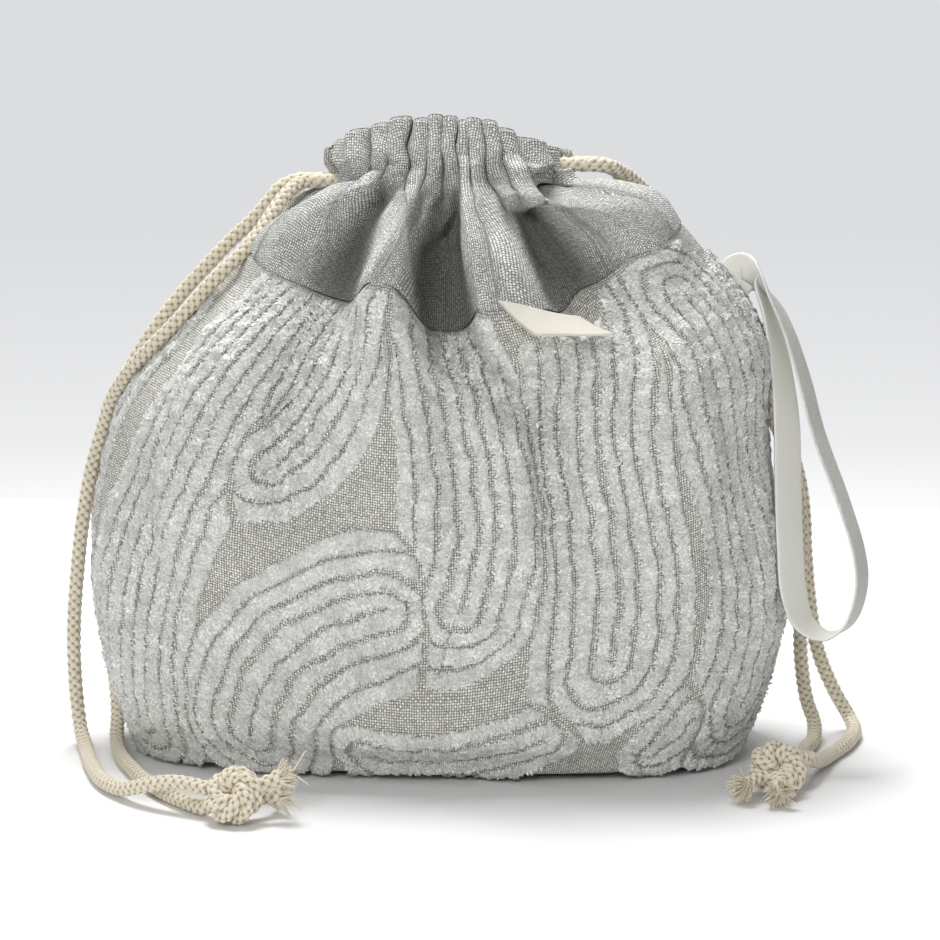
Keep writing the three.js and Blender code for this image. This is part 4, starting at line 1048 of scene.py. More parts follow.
def put_mesh(name, points, faces, material, uv=None, values=None):
    """Mesh object from points in millimetres; uv is one pair and each named value one number per point."""
    mesh = bpy.data.meshes.new(name)
    listed = faces if isinstance(faces, list) else faces.tolist()
    mesh.from_pydata((points.reshape(-1, 3) * MM).tolist(), [], listed)
    if uv is not None:
        layer = mesh.uv_layers.new(name="cloth")
        corner = np.empty(len(mesh.loops), dtype=np.int32)
        mesh.loops.foreach_get("vertex_index", corner)
        layer.data.foreach_set("uv", uv.reshape(-1, 2)[corner].astype(np.float32).ravel())
    for key, value in (values or {}).items():
        attribute = mesh.attributes.new(key, "FLOAT", "POINT")
        attribute.data.foreach_set("value", value.astype(np.float32).ravel())
    mesh.polygons.foreach_set("use_smooth", np.ones(len(mesh.polygons), dtype=bool))
    mesh.materials.append(material)
    mesh.update()
    piece = bpy.data.objects.new(name, mesh)
    bpy.context.scene.collection.objects.link(piece)
    return piece


def dress(piece, body, slot, *nodes):
    """The piece rides on a body and stands for these CAD nodes, which it hides; the slot is not used."""
    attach(piece, body)
    if nodes:
        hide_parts(*nodes)
    return piece


# Shader nodes
def add_node(tree, kind, inputs=(), **settings):
    """New node with its settings; inputs are links or values in socket order, None leaves a socket alone."""
    made = tree.nodes.new(kind)
    for key, value in settings.items():
        setattr(made, key, value)
    for socket, value in zip(made.inputs, inputs):
        if value is None:
            continue
        if isinstance(value, bpy.types.NodeSocket):
            tree.links.new(value, socket)
        else:
            socket.default_value = value
    return made


def maths(tree, operation, *inputs):
    """Output of a Math node."""
    return add_node(tree, "ShaderNodeMath", inputs, operation=operation).outputs[0]


def vector_maths(tree, operation, *inputs):
    """Output of a Vector Math node."""
    return add_node(tree, "ShaderNodeVectorMath", inputs, operation=operation).outputs[0]


def spread(tree, value, low, high, new_low=0.0, new_high=1.0):
    """Output of a Map Range node that stays within its new range."""
    return add_node(tree, "ShaderNodeMapRange", (value, low, high, new_low, new_high)).outputs[0]


def blend_colours(tree, share, low, high, blend="MIX"):
    """Output of a colour mix."""
    made = add_node(tree, "ShaderNodeMix", (), data_type="RGBA", blend_type=blend)
    for name, value in (("Factor_Float", share), ("A_Color", low), ("B_Color", high)):
        socket = next(s for s in made.inputs if s.identifier == name)
        if isinstance(value, bpy.types.NodeSocket):
            tree.links.new(value, socket)
        else:
            socket.default_value = value if name == "Factor_Float" else (*value, 1.0)
    return next(s for s in made.outputs if s.identifier == "Result_Color")


def shade(tree, colour, share):
    """A colour times one number."""
    grey = add_node(tree, "ShaderNodeCombineColor", (share, share, share)).outputs[0]
    return blend_colours(tree, 1.0, colour, grey, "MULTIPLY")


def new_group(name, inputs, outputs):
    """Empty shader node group with these named sockets; returns the group, its input node and output node."""
    group = bpy.data.node_groups.new(name, "ShaderNodeTree")
    for label, kind, value in inputs:
        socket = group.interface.new_socket(label, in_out="INPUT", socket_type=kind)
        if value is not None:
            socket.default_value = value
    for label, kind in outputs:
        group.interface.new_socket(label, in_out="OUTPUT", socket_type=kind)
    return group, group.nodes.new("NodeGroupInput"), group.nodes.new("NodeGroupOutput")


def weave_group():
    """Plain weave: warp and weft take turns on top in a chequer, each crossing with its own lightness."""
    group, source, sink = new_group(
        "Plain weave",
        [("Cloth", "NodeSocketVector", None), ("Pitch", "NodeSocketFloat", 1.0)],
        [("Height", "NodeSocketFloat"), ("Lightness", "NodeSocketFloat")])
    cloth = source.outputs["Cloth"]
    wobble = add_node(group, "ShaderNodeTexNoise", (cloth, None, WEAVE_WOBBLE, 2.0)).outputs["Color"]
    centred = vector_maths(group, "SUBTRACT", wobble, (0.5, 0.5, 0.5))
    moved = vector_maths(group, "MULTIPLY", centred, WEAVE_SHIFT)
    parts = add_node(group, "ShaderNodeSeparateXYZ", (vector_maths(group, "ADD", cloth, moved),))
    x = maths(group, "DIVIDE", parts.outputs[0], source.outputs["Pitch"])
    y = maths(group, "DIVIDE", parts.outputs[1], source.outputs["Pitch"])
    column = maths(group, "FLOOR", x)
    row = maths(group, "FLOOR", y)
    rise_x = maths(group, "ABSOLUTE", maths(group, "SINE", maths(group, "MULTIPLY", x, math.pi)))
    rise_y = maths(group, "ABSOLUTE", maths(group, "SINE", maths(group, "MULTIPLY", y, math.pi)))
    half = maths(group, "MULTIPLY", maths(group, "ADD", column, row), 0.5)
    chequer = maths(group, "MULTIPLY", maths(group, "FRACT", half), 2.0)
    warp = maths(group, "MULTIPLY", rise_x, maths(group, "MULTIPLY_ADD", rise_y, 0.5, 0.5))
    weft = maths(group, "MULTIPLY", rise_y, maths(group, "MULTIPLY_ADD", rise_x, 0.5, 0.5))
    weft_share = maths(group, "SUBTRACT", 1.0, chequer)
    height = maths(group, "MULTIPLY_ADD", warp, chequer, maths(group, "MULTIPLY", weft, weft_share))
    cell = add_node(group, "ShaderNodeCombineXYZ", (column, row, 0.0))
    white = add_node(group, "ShaderNodeTexWhiteNoise", (cell.outputs[0],), noise_dimensions="2D")
    fleck = maths(group, "MULTIPLY", white.outputs["Value"], WEAVE_FLECK_TONE)
    slub = add_node(group, "ShaderNodeTexNoise", (cloth, None, WEAVE_SLUB, 3.0)).outputs[0]
    tone = maths(group, "MULTIPLY_ADD", chequer, WEAVE_TOP_TONE, fleck)
    dropped = maths(group, "SUBTRACT", tone, WEAVE_TONE_DROP)
    group.links.new(height, sink.inputs["Height"])
    group.links.new(maths(group, "MULTIPLY_ADD", slub, WEAVE_SLUB_TONE, dropped), sink.inputs["Lightness"])
    return group


def fuzz_group():
    """Fibre fuzz: two sizes of noise in object space, as a height and as a lightness,
    partly random tone and partly painted shade.
    """
    group, source, sink = new_group(
        "Fibre fuzz",
        [("Fineness", "NodeSocketFloat", FUZZ_FINENESS)],
        [("Height", "NodeSocketFloat"), ("Lightness", "NodeSocketFloat")])
    place = add_node(group, "ShaderNodeTexCoord").outputs["Object"]
    fineness = source.outputs["Fineness"]
    coarse = maths(group, "MULTIPLY", fineness, FUZZ_CLUMP_FINENESS)
    fine = add_node(group, "ShaderNodeTexNoise", (place, None, fineness, 3.0, 0.6)).outputs[0]
    clump = add_node(group, "ShaderNodeTexNoise", (place, None, coarse, 2.0)).outputs[0]
    clumps = maths(group, "MULTIPLY", clump, FUZZ_CLUMP_SHARE)
    both = maths(group, "MULTIPLY_ADD", fine, FUZZ_FINE_SHARE, clumps)
    group.links.new(both, sink.inputs["Height"])
    group.links.new(maths(group, "MULTIPLY_ADD", both, *FUZZ_TONE_AND_SHADE), sink.inputs["Lightness"])
    return group


def tuft_group():
    """Cut pile along the tufted lines: yarn ends lie across the line in bundles, with ragged edges. Line is
    the distance from the core counted in lines, Along the place on the line and Bare the share left free."""
    group, source, sink = new_group(
        "Tufted lines",
        [("Line", "NodeSocketFloat", 0.0), ("Along", "NodeSocketFloat", 0.0),
         ("Bare", "NodeSocketFloat", 0.2), ("Cover", "NodeSocketFloat", 1.0)],
        [("Height", "NodeSocketFloat"), ("Lightness", "NodeSocketFloat"), ("Cover", "NodeSocketFloat")])
    line = source.outputs["Line"]
    across = maths(group, "MULTIPLY", line, 2.0)
    place = add_node(group, "ShaderNodeCombineXYZ", (source.outputs["Along"], across, 0.0)).outputs[0]
    ragged = add_node(group, "ShaderNodeTexNoise", (place, None, YARN_EDGE_NOISE, 2.0)).outputs[0]
    bundle = add_node(group, "ShaderNodeTexNoise", (place, None, YARN_BUNDLE_NOISE, 3.0, 0.65)).outputs[0]
    clump = add_node(group, "ShaderNodeTexNoise", (place, None, YARN_CLUMP_NOISE, 2.0)).outputs[0]
    centre = maths(group, "ABSOLUTE", maths(group, "MULTIPLY_ADD", maths(group, "FRACT", line), 2.0, -1.0))
    rough = maths(group, "ADD", centre, maths(group, "MULTIPLY_ADD", ragged, *YARN_EDGE_SHIFT))
    edge = maths(group, "ADD", rough, source.outputs["Bare"])
    inside = spread(group, edge, *YARN_EDGE_RANGE, 1.0, 0.0)
    cover = maths(group, "MULTIPLY", inside, spread(group, source.outputs["Cover"], *YARN_COVER_RANGE))
    clumps = maths(group, "MULTIPLY", clump, YARN_CLUMP_SHARE)
    both = maths(group, "MULTIPLY_ADD", bundle, YARN_BUNDLE_SHARE, clumps)
    group.links.new(maths(group, "MULTIPLY", both, cover), sink.inputs["Height"])
    # Lightness follows the bundles' height: partly random tone, partly painted shade
    group.links.new(maths(group, "MULTIPLY_ADD", both, *YARN_TONE_AND_SHADE), sink.inputs["Lightness"])
    group.links.new(cover, sink.inputs["Cover"])
    return group


def grain_group():
    """Leather grain: rounded cells with creases between them, at two sizes, in object space."""
    group, source, sink = new_group(
        "Leather grain",
        [("Fineness", "NodeSocketFloat", GRAIN_FINENESS)],
        [("Height", "NodeSocketFloat")])
    place = add_node(group, "ShaderNodeTexCoord").outputs["Object"]
    coarse = maths(group, "MULTIPLY", source.outputs["Fineness"], GRAIN_FOLD_FINENESS)
    cells = add_node(group, "ShaderNodeTexVoronoi", (place, None, source.outputs["Fineness"]),
                     feature="DISTANCE_TO_EDGE")
    folds = add_node(group, "ShaderNodeTexNoise", (place, None, coarse, 3.0)).outputs[0]
    creases = spread(group, cells.outputs["Distance"], 0.0, GRAIN_CREASE_WIDTH)
    bent = maths(group, "MULTIPLY", folds, GRAIN_FOLD_SHARE)
    group.links.new(maths(group, "MULTIPLY_ADD", creases, GRAIN_CELL_SHARE, bent), sink.inputs["Height"])
    return group


def shared_group(name, build):
    """The node group of that name, built on its first use."""
    return bpy.data.node_groups.get(name) or build()


def place_group(tree, name, build, **inputs):
    """Group node in a material's tree with its inputs set or linked."""
    made = add_node(tree, "ShaderNodeGroup", (), node_tree=shared_group(name, build))
    for key, value in inputs.items():
        socket = made.inputs[key]
        if isinstance(value, bpy.types.NodeSocket):
            tree.links.new(value, socket)
        else:
            socket.default_value = value
    return made


def new_material(name):
    """Material with the roughness and sheen of that finish; returns the material, its tree and the shader."""
    roughness, sheen = FINISHES[name]
    material = bpy.data.materials.new(name)
    material.use_nodes = True
    shader = material.node_tree.nodes["Principled BSDF"]
    shader.inputs["Roughness"].default_value = roughness
    shader.inputs["Specular IOR Level"].default_value = SPECULAR_LEVEL
    shader.inputs["Sheen Weight"].default_value = sheen
    return material, material.node_tree, shader


def cloth_place(tree):
    """The cloth's own coordinates in millimetres, along the width and down from the rim."""
    return add_node(tree, "ShaderNodeUVMap", (), uv_map="cloth").outputs[0]


def point_value(tree, name):
    """A number stored at the mesh's points."""
    return add_node(tree, "ShaderNodeAttribute", (), attribute_name=name).outputs["Fac"]


def raise_bump(tree, shader, height, distance, strength=1.0):
    """Bump of that height feeding the shader's normal."""
    bump = add_node(tree, "ShaderNodeBump", (strength, distance))
    tree.links.new(height, bump.inputs["Height"])
    tree.links.new(bump.outputs[0], shader.inputs["Normal"])


def weave_colour(tree, settings, pitch):
    """Colour and height of the grey mixed weave, with painted shade between the threads."""
    weave = place_group(tree, "Plain weave", weave_group, Cloth=cloth_place(tree), Pitch=pitch)
    thread = blend_colours(tree, weave.outputs["Lightness"], settings.thread_dark, settings.thread_light)
    # Painted shade: the colour darkens where the weave is low, between the threads
    painted_shade = maths(tree, "MULTIPLY_ADD", weave.outputs["Height"], WEAVE_GAP_SHADE_SLOPE, WEAVE_GAP_SHADE_LEAST)
    return shade(tree, thread, painted_shade), weave.outputs["Height"]


def fine_weave(tree, shader, pitch, gap_shade_share, colour):
    """One colour in a fine weave, with that share of it between the threads as painted shade."""
    weave = place_group(tree, "Plain weave", weave_group, Cloth=cloth_place(tree), Pitch=pitch)
    low = tuple(gap_shade_share * c for c in colour)
    mixed = blend_colours(tree, weave.outputs["Height"], low, colour)
    tree.links.new(mixed, shader.inputs["Base Color"])
    raise_bump(tree, shader, weave.outputs["Height"], FINE_BUMP)


def band_material(settings):
    """Coarse grey weave of the band, with painted shade in its hollows and creases."""
    material, tree, shader = new_material("plain_cloth")
    colour, height = weave_colour(tree, settings, settings.weave_pitch / MM)
    # Painted shade in the band's fold hollows and header creases
    painted_shade = maths(tree, "MULTIPLY_ADD", point_value(tree, "hollow"), BAND_HOLLOW_SHADE, 1.0)
    tree.links.new(shade(tree, colour, painted_shade), shader.inputs["Base Color"])
    raise_bump(tree, shader, height, BAND_BUMP)
    return material


def tufted_material(settings):
    """Ground weave with pale cut pile on the tufted lines, dark where two lines meet, with painted shade in
    the fold hollows.
    """
    material, tree, shader = new_material("tufted_cloth")
    ground, weave = weave_colour(tree, settings, settings.weave_pitch / MM * GROUND_PITCH_SHARE)
    tufts = place_group(tree, "Tufted lines", tuft_group, Line=point_value(tree, "line"),
                        Along=point_value(tree, "along"), Bare=point_value(tree, "bare"),
                        Cover=point_value(tree, "cover"))
    pile = blend_colours(tree, tufts.outputs["Lightness"], settings.tuft_dark, settings.tuft_light)
    tinted = blend_colours(tree, 1.0, ground, GROUND_TINT, "MULTIPLY")
    colour = blend_colours(tree, tufts.outputs["Cover"], tinted, pile)
    # Painted shade in the body's fold hollows
    painted_shade = maths(tree, "MULTIPLY_ADD", point_value(tree, "hollow"), BODY_HOLLOW_SHADE, 1.0)
    tree.links.new(shade(tree, colour, painted_shade), shader.inputs["Base Color"])
    height = maths(tree, "MULTIPLY_ADD", weave, GROUND_BUMP_SHARE, tufts.outputs["Height"])
    raise_bump(tree, shader, height, TUFT_BUMP)
    return material


def lock_material(settings):
    """Cut yarn ends of the pile, each with its own lightness."""
    material, tree, shader = new_material("pile_locks")
    tone = blend_colours(tree, point_value(tree, "tone"), settings.tuft_dark, settings.tuft_light)
    tree.links.new(tone, shader.inputs["Base Color"])
    return material


def lining_material(settings):
    """Smooth pale cotton with a fine weave."""
    material, tree, shader = new_material("lining_cloth")
    fine_weave(tree, shader, FINE_WEAVE_PITCH, LINING_GAP_SHADE, settings.lining_colour)
    return material


def facing_material(settings):
    """Inside of the mouth: the band's weave turned in over the rim, then the pale lining cloth."""
    material, tree, shader = new_material("facing_cloth")
    colour, height = weave_colour(tree, settings, settings.weave_pitch / MM)
    parts = add_node(tree, "ShaderNodeSeparateXYZ", (cloth_place(tree),))
    turned = maths(tree, "GREATER_THAN", parts.outputs[1], FACING_TURN_IN)
    tree.links.new(blend_colours(tree, turned, colour, settings.lining_colour), shader.inputs["Base Color"])
    raise_bump(tree, shader, height, FACING_BUMP)
    return material


def cord_material(settings):
    """Natural cotton braid with painted shade between the stitches, and fibre fuzz."""
    material, tree, shader = new_material("cotton_cord")
    fuzz = place_group(tree, "Fibre fuzz", fuzz_group, Fineness=FUZZ_FINENESS)
    painted_shade = tuple(c * s for c, s in zip(settings.cord_colour, GROOVE_SHADE_TINT))
    # Painted shade darkens the braid's grooves
    groove_shade = spread(tree, point_value(tree, "stitch"), *GROOVE_SHADE_RANGE)
    strand = blend_colours(tree, groove_shade, painted_shade, settings.cord_colour)
    tint = blend_colours(tree, fuzz.outputs["Lightness"], FUZZ_DARK, FUZZ_LIGHT)
    tree.links.new(blend_colours(tree, 1.0, strand, tint, "MULTIPLY"), shader.inputs["Base Color"])
    raise_bump(tree, shader, fuzz.outputs["Height"], CORD_BUMP)
    return material


def strap_material(settings):
    """Leather: grained on one face, smooth and paler on the other, with a pale cut edge."""
    material, tree, shader = new_material("strap_leather")
    grain = place_group(tree, "Leather grain", grain_group, Fineness=GRAIN_FINENESS)
    grained = point_value(tree, "grained")
    pale = tuple(min(1.0, LEATHER_BACK_SHARE * c) for c in settings.strap_colour)
    creased = tuple(LEATHER_CREASE_SHARE * c for c in settings.strap_colour)
    face = blend_colours(tree, grain.outputs["Height"], creased, settings.strap_colour)
    side = blend_colours(tree, grained, pale, face)
    edged = blend_colours(tree, point_value(tree, "edge"), side, LEATHER_CUT_EDGE)
    tree.links.new(edged, shader.inputs["Base Color"])
    raise_bump(tree, shader, maths(tree, "MULTIPLY", grain.outputs["Height"], grained), LEATHER_BUMP)
    return material


def label_material(settings):
    """Bare woven ribbon with a fine rib."""
    material, tree, shader = new_material("label_cloth")
    fine_weave(tree, shader, RIBBON_PITCH, RIBBON_GAP_SHADE, settings.label_colour)
    return material


class BAG_OT_stage(bpy.types.Operator):
    """Camera, soft lamps, floor and backdrop"""
    bl_idname = "bag.stage"
    bl_label = "Stage"

    def execute(self, context):
        settings = context.scene.bag_stage
        lens = bpy.data.cameras.new("camera")
        lens.lens = settings.lens
        lens.clip_end = CAMERA_REACH
        camera = bpy.data.objects.new("camera", lens)
        context.scene.collection.objects.link(camera)
        camera.location = settings.camera_place
        aim = Vector(settings.camera_aim) - Vector(settings.camera_place)
        camera.rotation_euler = aim.to_track_quat("-Z", "Y").to_euler()
        context.scene.camera = camera
        context.scene.view_settings.view_transform = "Standard"
        context.scene.world = self.room(settings)
        for name, place, size, power in LAMPS:
            self.lamp(context, name, place, size, getattr(settings, power))
        self.floor(settings)
        return {"FINISHED"}

    def room(self, settings):
        """World: light that grows from the horizon to straight above, and a pale backdrop for the camera."""
        world = bpy.data.worlds.new("room")
        world.use_nodes = True
        tree = world.node_tree
        light = tree.nodes["Background"]
        way = add_node(tree, "ShaderNodeTexCoord").outputs["Generated"]
        up = add_node(tree, "ShaderNodeSeparateXYZ", (way,)).outputs[2]
        strength = spread(tree, up, 0.0, 1.0, settings.low_light, settings.high_light)
        light.inputs["Color"].default_value = WHITE
        tree.links.new(strength, light.inputs["Strength"])
        ramp = add_node(tree, "ShaderNodeValToRGB", (spread(tree, up, *BACKDROP_SLOPES),))
        stops = ramp.color_ramp.elements
        stops[0].color = WHITE
        stops[1].color = (*settings.wall_colour, 1.0)
        for place, colour in BACKDROP_STOPS:
            stops.new(place).color = (*colour, 1.0)
        backdrop = add_node(tree, "ShaderNodeBackground", (ramp.outputs[0], 1.0))
        path = add_node(tree, "ShaderNodeLightPath")
        seen = maths(tree, "ADD", path.outputs["Is Camera Ray"], path.outputs["Is Glossy Ray"])
        either = maths(tree, "MINIMUM", maths(tree, "ADD", seen, path.outputs["Is Transmission Ray"]), 1.0)
        mixed = add_node(tree, "ShaderNodeMixShader", (either, light.outputs[0], backdrop.outputs[0]))
        tree.links.new(mixed.outputs[0], tree.nodes["World Output"].inputs["Surface"])
        return world

    def lamp(self, context, name, place, size, power):
        """Square area lamp aimed at the bag's middle."""
        light = bpy.data.lights.new(name, "AREA")
        light.size = size
        light.energy = power
        lamp = bpy.data.objects.new(name, light)
        context.scene.collection.objects.link(lamp)
        lamp.location = place
        lamp.rotation_euler = (Vector(LAMP_AIM) - Vector(place)).to_track_quat("-Z", "Y").to_euler()

    def floor(self, settings):
        """White table top, wide and deep enough to reach the pale part of the backdrop."""
        x = np.array(FLOOR_X)
        y = np.array(FLOOR_Y)
        points = np.stack(np.broadcast_arrays(x[None, :], y[:, None], np.zeros((2, 2))), axis=-1)
        material, _, shader = new_material("floor_paint")
        shader.inputs["Base Color"].default_value = (*settings.floor_colour, 1.0)
        put_mesh("floor", points, grid_faces(2, 2), material)


class BAG_OT_drawcords(bpy.types.Operator):
    """Braided drawcords with their knots and frayed tails"""
    bl_idname = "bag.drawcords"
    bl_label = "Drawcords"

    def execute(self, context):
        settings = context.scene.bag_trim
        self.material = cord_material(settings)
        self.radius = settings.cord_diameter / MM / 2
        self.stitch = settings.braid_length / MM
        runs = (("left", "front", LEFT_FRONT_ROUTE), ("left", "back", LEFT_BACK_ROUTE),
                ("right", "front", RIGHT_FRONT_ROUTE), ("right", "back", RIGHT_BACK_ROUTE))
        for side, middle, turn, ways in (("left", LEFT_KNOT, LEFT_KNOT_TURN, LEFT_TAILS),
                                         ("right", RIGHT_KNOT, RIGHT_KNOT_TURN, RIGHT_TAILS)):
            self.knot(side, middle, turn)
            for place, way in zip(("front", "back"), ways):
                self.tail(side, place, middle, way)
        for side, place, route in runs:
            name = f"{side}_cord_{place}_run"
            line = even_line(route, RUN_STEP)
            piece = self.braid(f"{name}_braid", line, np.broadcast_to(BRAID_REFERENCE, line.shape))
            dress(piece, f"{side}_drawcord", "cotton_cord", name)
        for side, sign, (slot_x, slot_z) in (("left", -1, LEFT_SLOT), ("right", 1, RIGHT_SLOT)):
            self.loop(side, sign, slot_x, slot_z)
        return {"FINISHED"}

    def loop(self, side, sign, slot_x, slot_z):
        """Channel part of a drawcord: out of the slot, along the front, round the far end and back."""
        near = np.column_stack([slot_x * np.array(CHANNEL_SHARES), CHANNEL_SPREADS])
        half = np.vstack([near, CHANNEL_TURN])
        front = np.column_stack([sign * half[:, 0], -half[:, 1], np.full(len(half), slot_z)])
        back = front[::-1] * (1, -1, 1)
        end = np.array([[sign * CHANNEL_END[0], CHANNEL_END[1], slot_z]])
        line = even_line(np.vstack([front, end, back]), LOOP_STEP)
        piece = self.braid(f"{side}_cord_loop_braid", line, np.broadcast_to([0.0, 0.0, 1.0], line.shape))
        dress(piece, f"{side}_drawcord", "cotton_cord", f"{side}_cord_loop")

    def braid_tube(self, line, normal, radius, sides=BRAID_SIDES):
        """Tube whose radius carries the braid; returns points, faces and the stitches' painted shade."""
        run = running_length(line)
        turn = np.linspace(0.0, 2 * np.pi, sides, endpoint=False)
        stitch = braid_height(run[:, None], turn[None, :], self.stitch)
        grid = tube_grid(line, normal, radius + BRAID_RELIEF * (stitch - BRAID_TOP), sides)
        # Painted shade: dark in the holes where stitches meet and lower on the stitches' sides
        tone = braid_gap_shade(run[:, None], turn[None, :], self.stitch)
        tone = tone * (BRAID_GAP_SHADE + (1 - BRAID_GAP_SHADE) * stitch)
        return grid.reshape(-1, 3), closed_tube_faces(len(line), sides), tone.ravel()

    def braid(self, name, line, normal):
        """One braided cord as a mesh object."""
        points, faces, stitch = self.braid_tube(line, normal, self.radius)
        # The stitch value is the braid's painted shade
        return put_mesh(name, points, faces, self.material, values={"stitch": stitch})

    def knot(self, side, middle, turn):
        """Doubled overhand knot: two strands side by side on a torus, three times through and twice round."""
        phase = np.linspace(0.0, 2 * np.pi, KNOT_SAMPLES)
        through = KNOT_THROUGH * phase
        around = KNOT_ROUND * phase
        ring = KNOT_RADIUS + KNOT_TURN_RADIUS * np.cos(through)
        flat = np.column_stack([np.cos(around), np.sin(around), np.zeros_like(phase)])
        upright = np.array([0.0, 0.0, 1.0])
        line = ring[:, None] * flat + KNOT_TURN_RADIUS * np.sin(through)[:, None] * upright
        out = np.cos(through)[:, None] * flat + np.sin(through)[:, None] * upright
        beside = unit(np.cross(np.gradient(line, axis=0), out))
        spin = np.array(Euler(turn).to_matrix())
        parts = []
        for sign in (-1, 1):
            strand = (line + sign * KNOT_SPREAD * beside) @ spin.T + np.array(middle)
            parts.append(self.braid_tube(strand, out @ spin.T, KNOT_STRAND_RADIUS, KNOT_SIDES))
        points, faces, stitch = joined(parts)
        points[:, 2] = np.maximum(points[:, 2], KNOT_LIFT)
        piece = put_mesh(f"{side}_knot_turns", points, faces, self.material, values={"stitch": stitch})
        dress(piece, f"{side}_drawcord", "cotton_cord", f"{side}_knot")

    def tail(self, side, place, middle, way):
        """Cord end: a short braid that swells, then yarn ends that spread from it."""
        way = np.array(way) / np.linalg.norm(way)
        along = np.linspace(TAIL_START, TAIL_START + TAIL_LENGTH * TAIL_BRAID_SHARE, TAIL_ROWS)
        line = np.array(middle) + along[:, None] * way
        line[:, 2] = np.maximum(line[:, 2], self.radius + TAIL_LIFT)
        swell = 1 + TAIL_SWELL * smooth_step(TAIL_SWELL_START, 1.0, np.linspace(0, 1, len(along)))
        normal = np.broadcast_to(TAIL_REFERENCE, line.shape)
        parts = [self.braid_tube(line, normal, (self.radius * swell)[:, None], KNOT_SIDES)]
        rng = np.random.default_rng(len(side) * SEED_TAIL + len(place))
        count = FRAY_YARNS
        bend = rng.uniform(0.0, 2 * np.pi, count)
        off = np.sqrt(rng.uniform(0.0, 1.0, count))
        first = unit(np.cross(way, TAIL_REFERENCE))
        other = np.cross(way, first)
        spoke = first * np.cos(bend)[:, None] + other * np.sin(bend)[:, None]
        root = line[-1] - way + spoke * (off * self.radius)[:, None]
        length = rng.uniform(*FRAY_LENGTHS, count)[:, None]
        apart = (FRAY_SPREAD + (1 - FRAY_SPREAD) * off)[:, None]
        tip_way = unit(way + spoke * apart + rng.normal(0.0, FRAY_SCATTER, (count, 3)))
        curl = rng.normal(0.0, FRAY_CURL, (count, 3))
        parts.append(yarn_ends(root, tip_way, length, curl, FRAY_RADIUS))
        if side == "left":
            stray = unit(np.array(LONG_YARN_WAYS))
            start = np.repeat(line[-1:] + LONG_YARN_START * way, len(stray), axis=0)
            parts.append(yarn_ends(start, stray, np.array(LONG_YARN_LENGTHS), stray * LONG_YARN_CURL,
                                   LONG_YARN_RADIUS))
        points, faces, stitch = joined(parts)
        points[:, 2] = np.maximum(points[:, 2], TAIL_LOWEST)
        piece = put_mesh(f"{side}_tail_{place}_fray", points, faces, self.material, values={"stitch": stitch})
        return dress(piece, f"{side}_drawcord", "cotton_cord", f"{side}_tail_{place}")


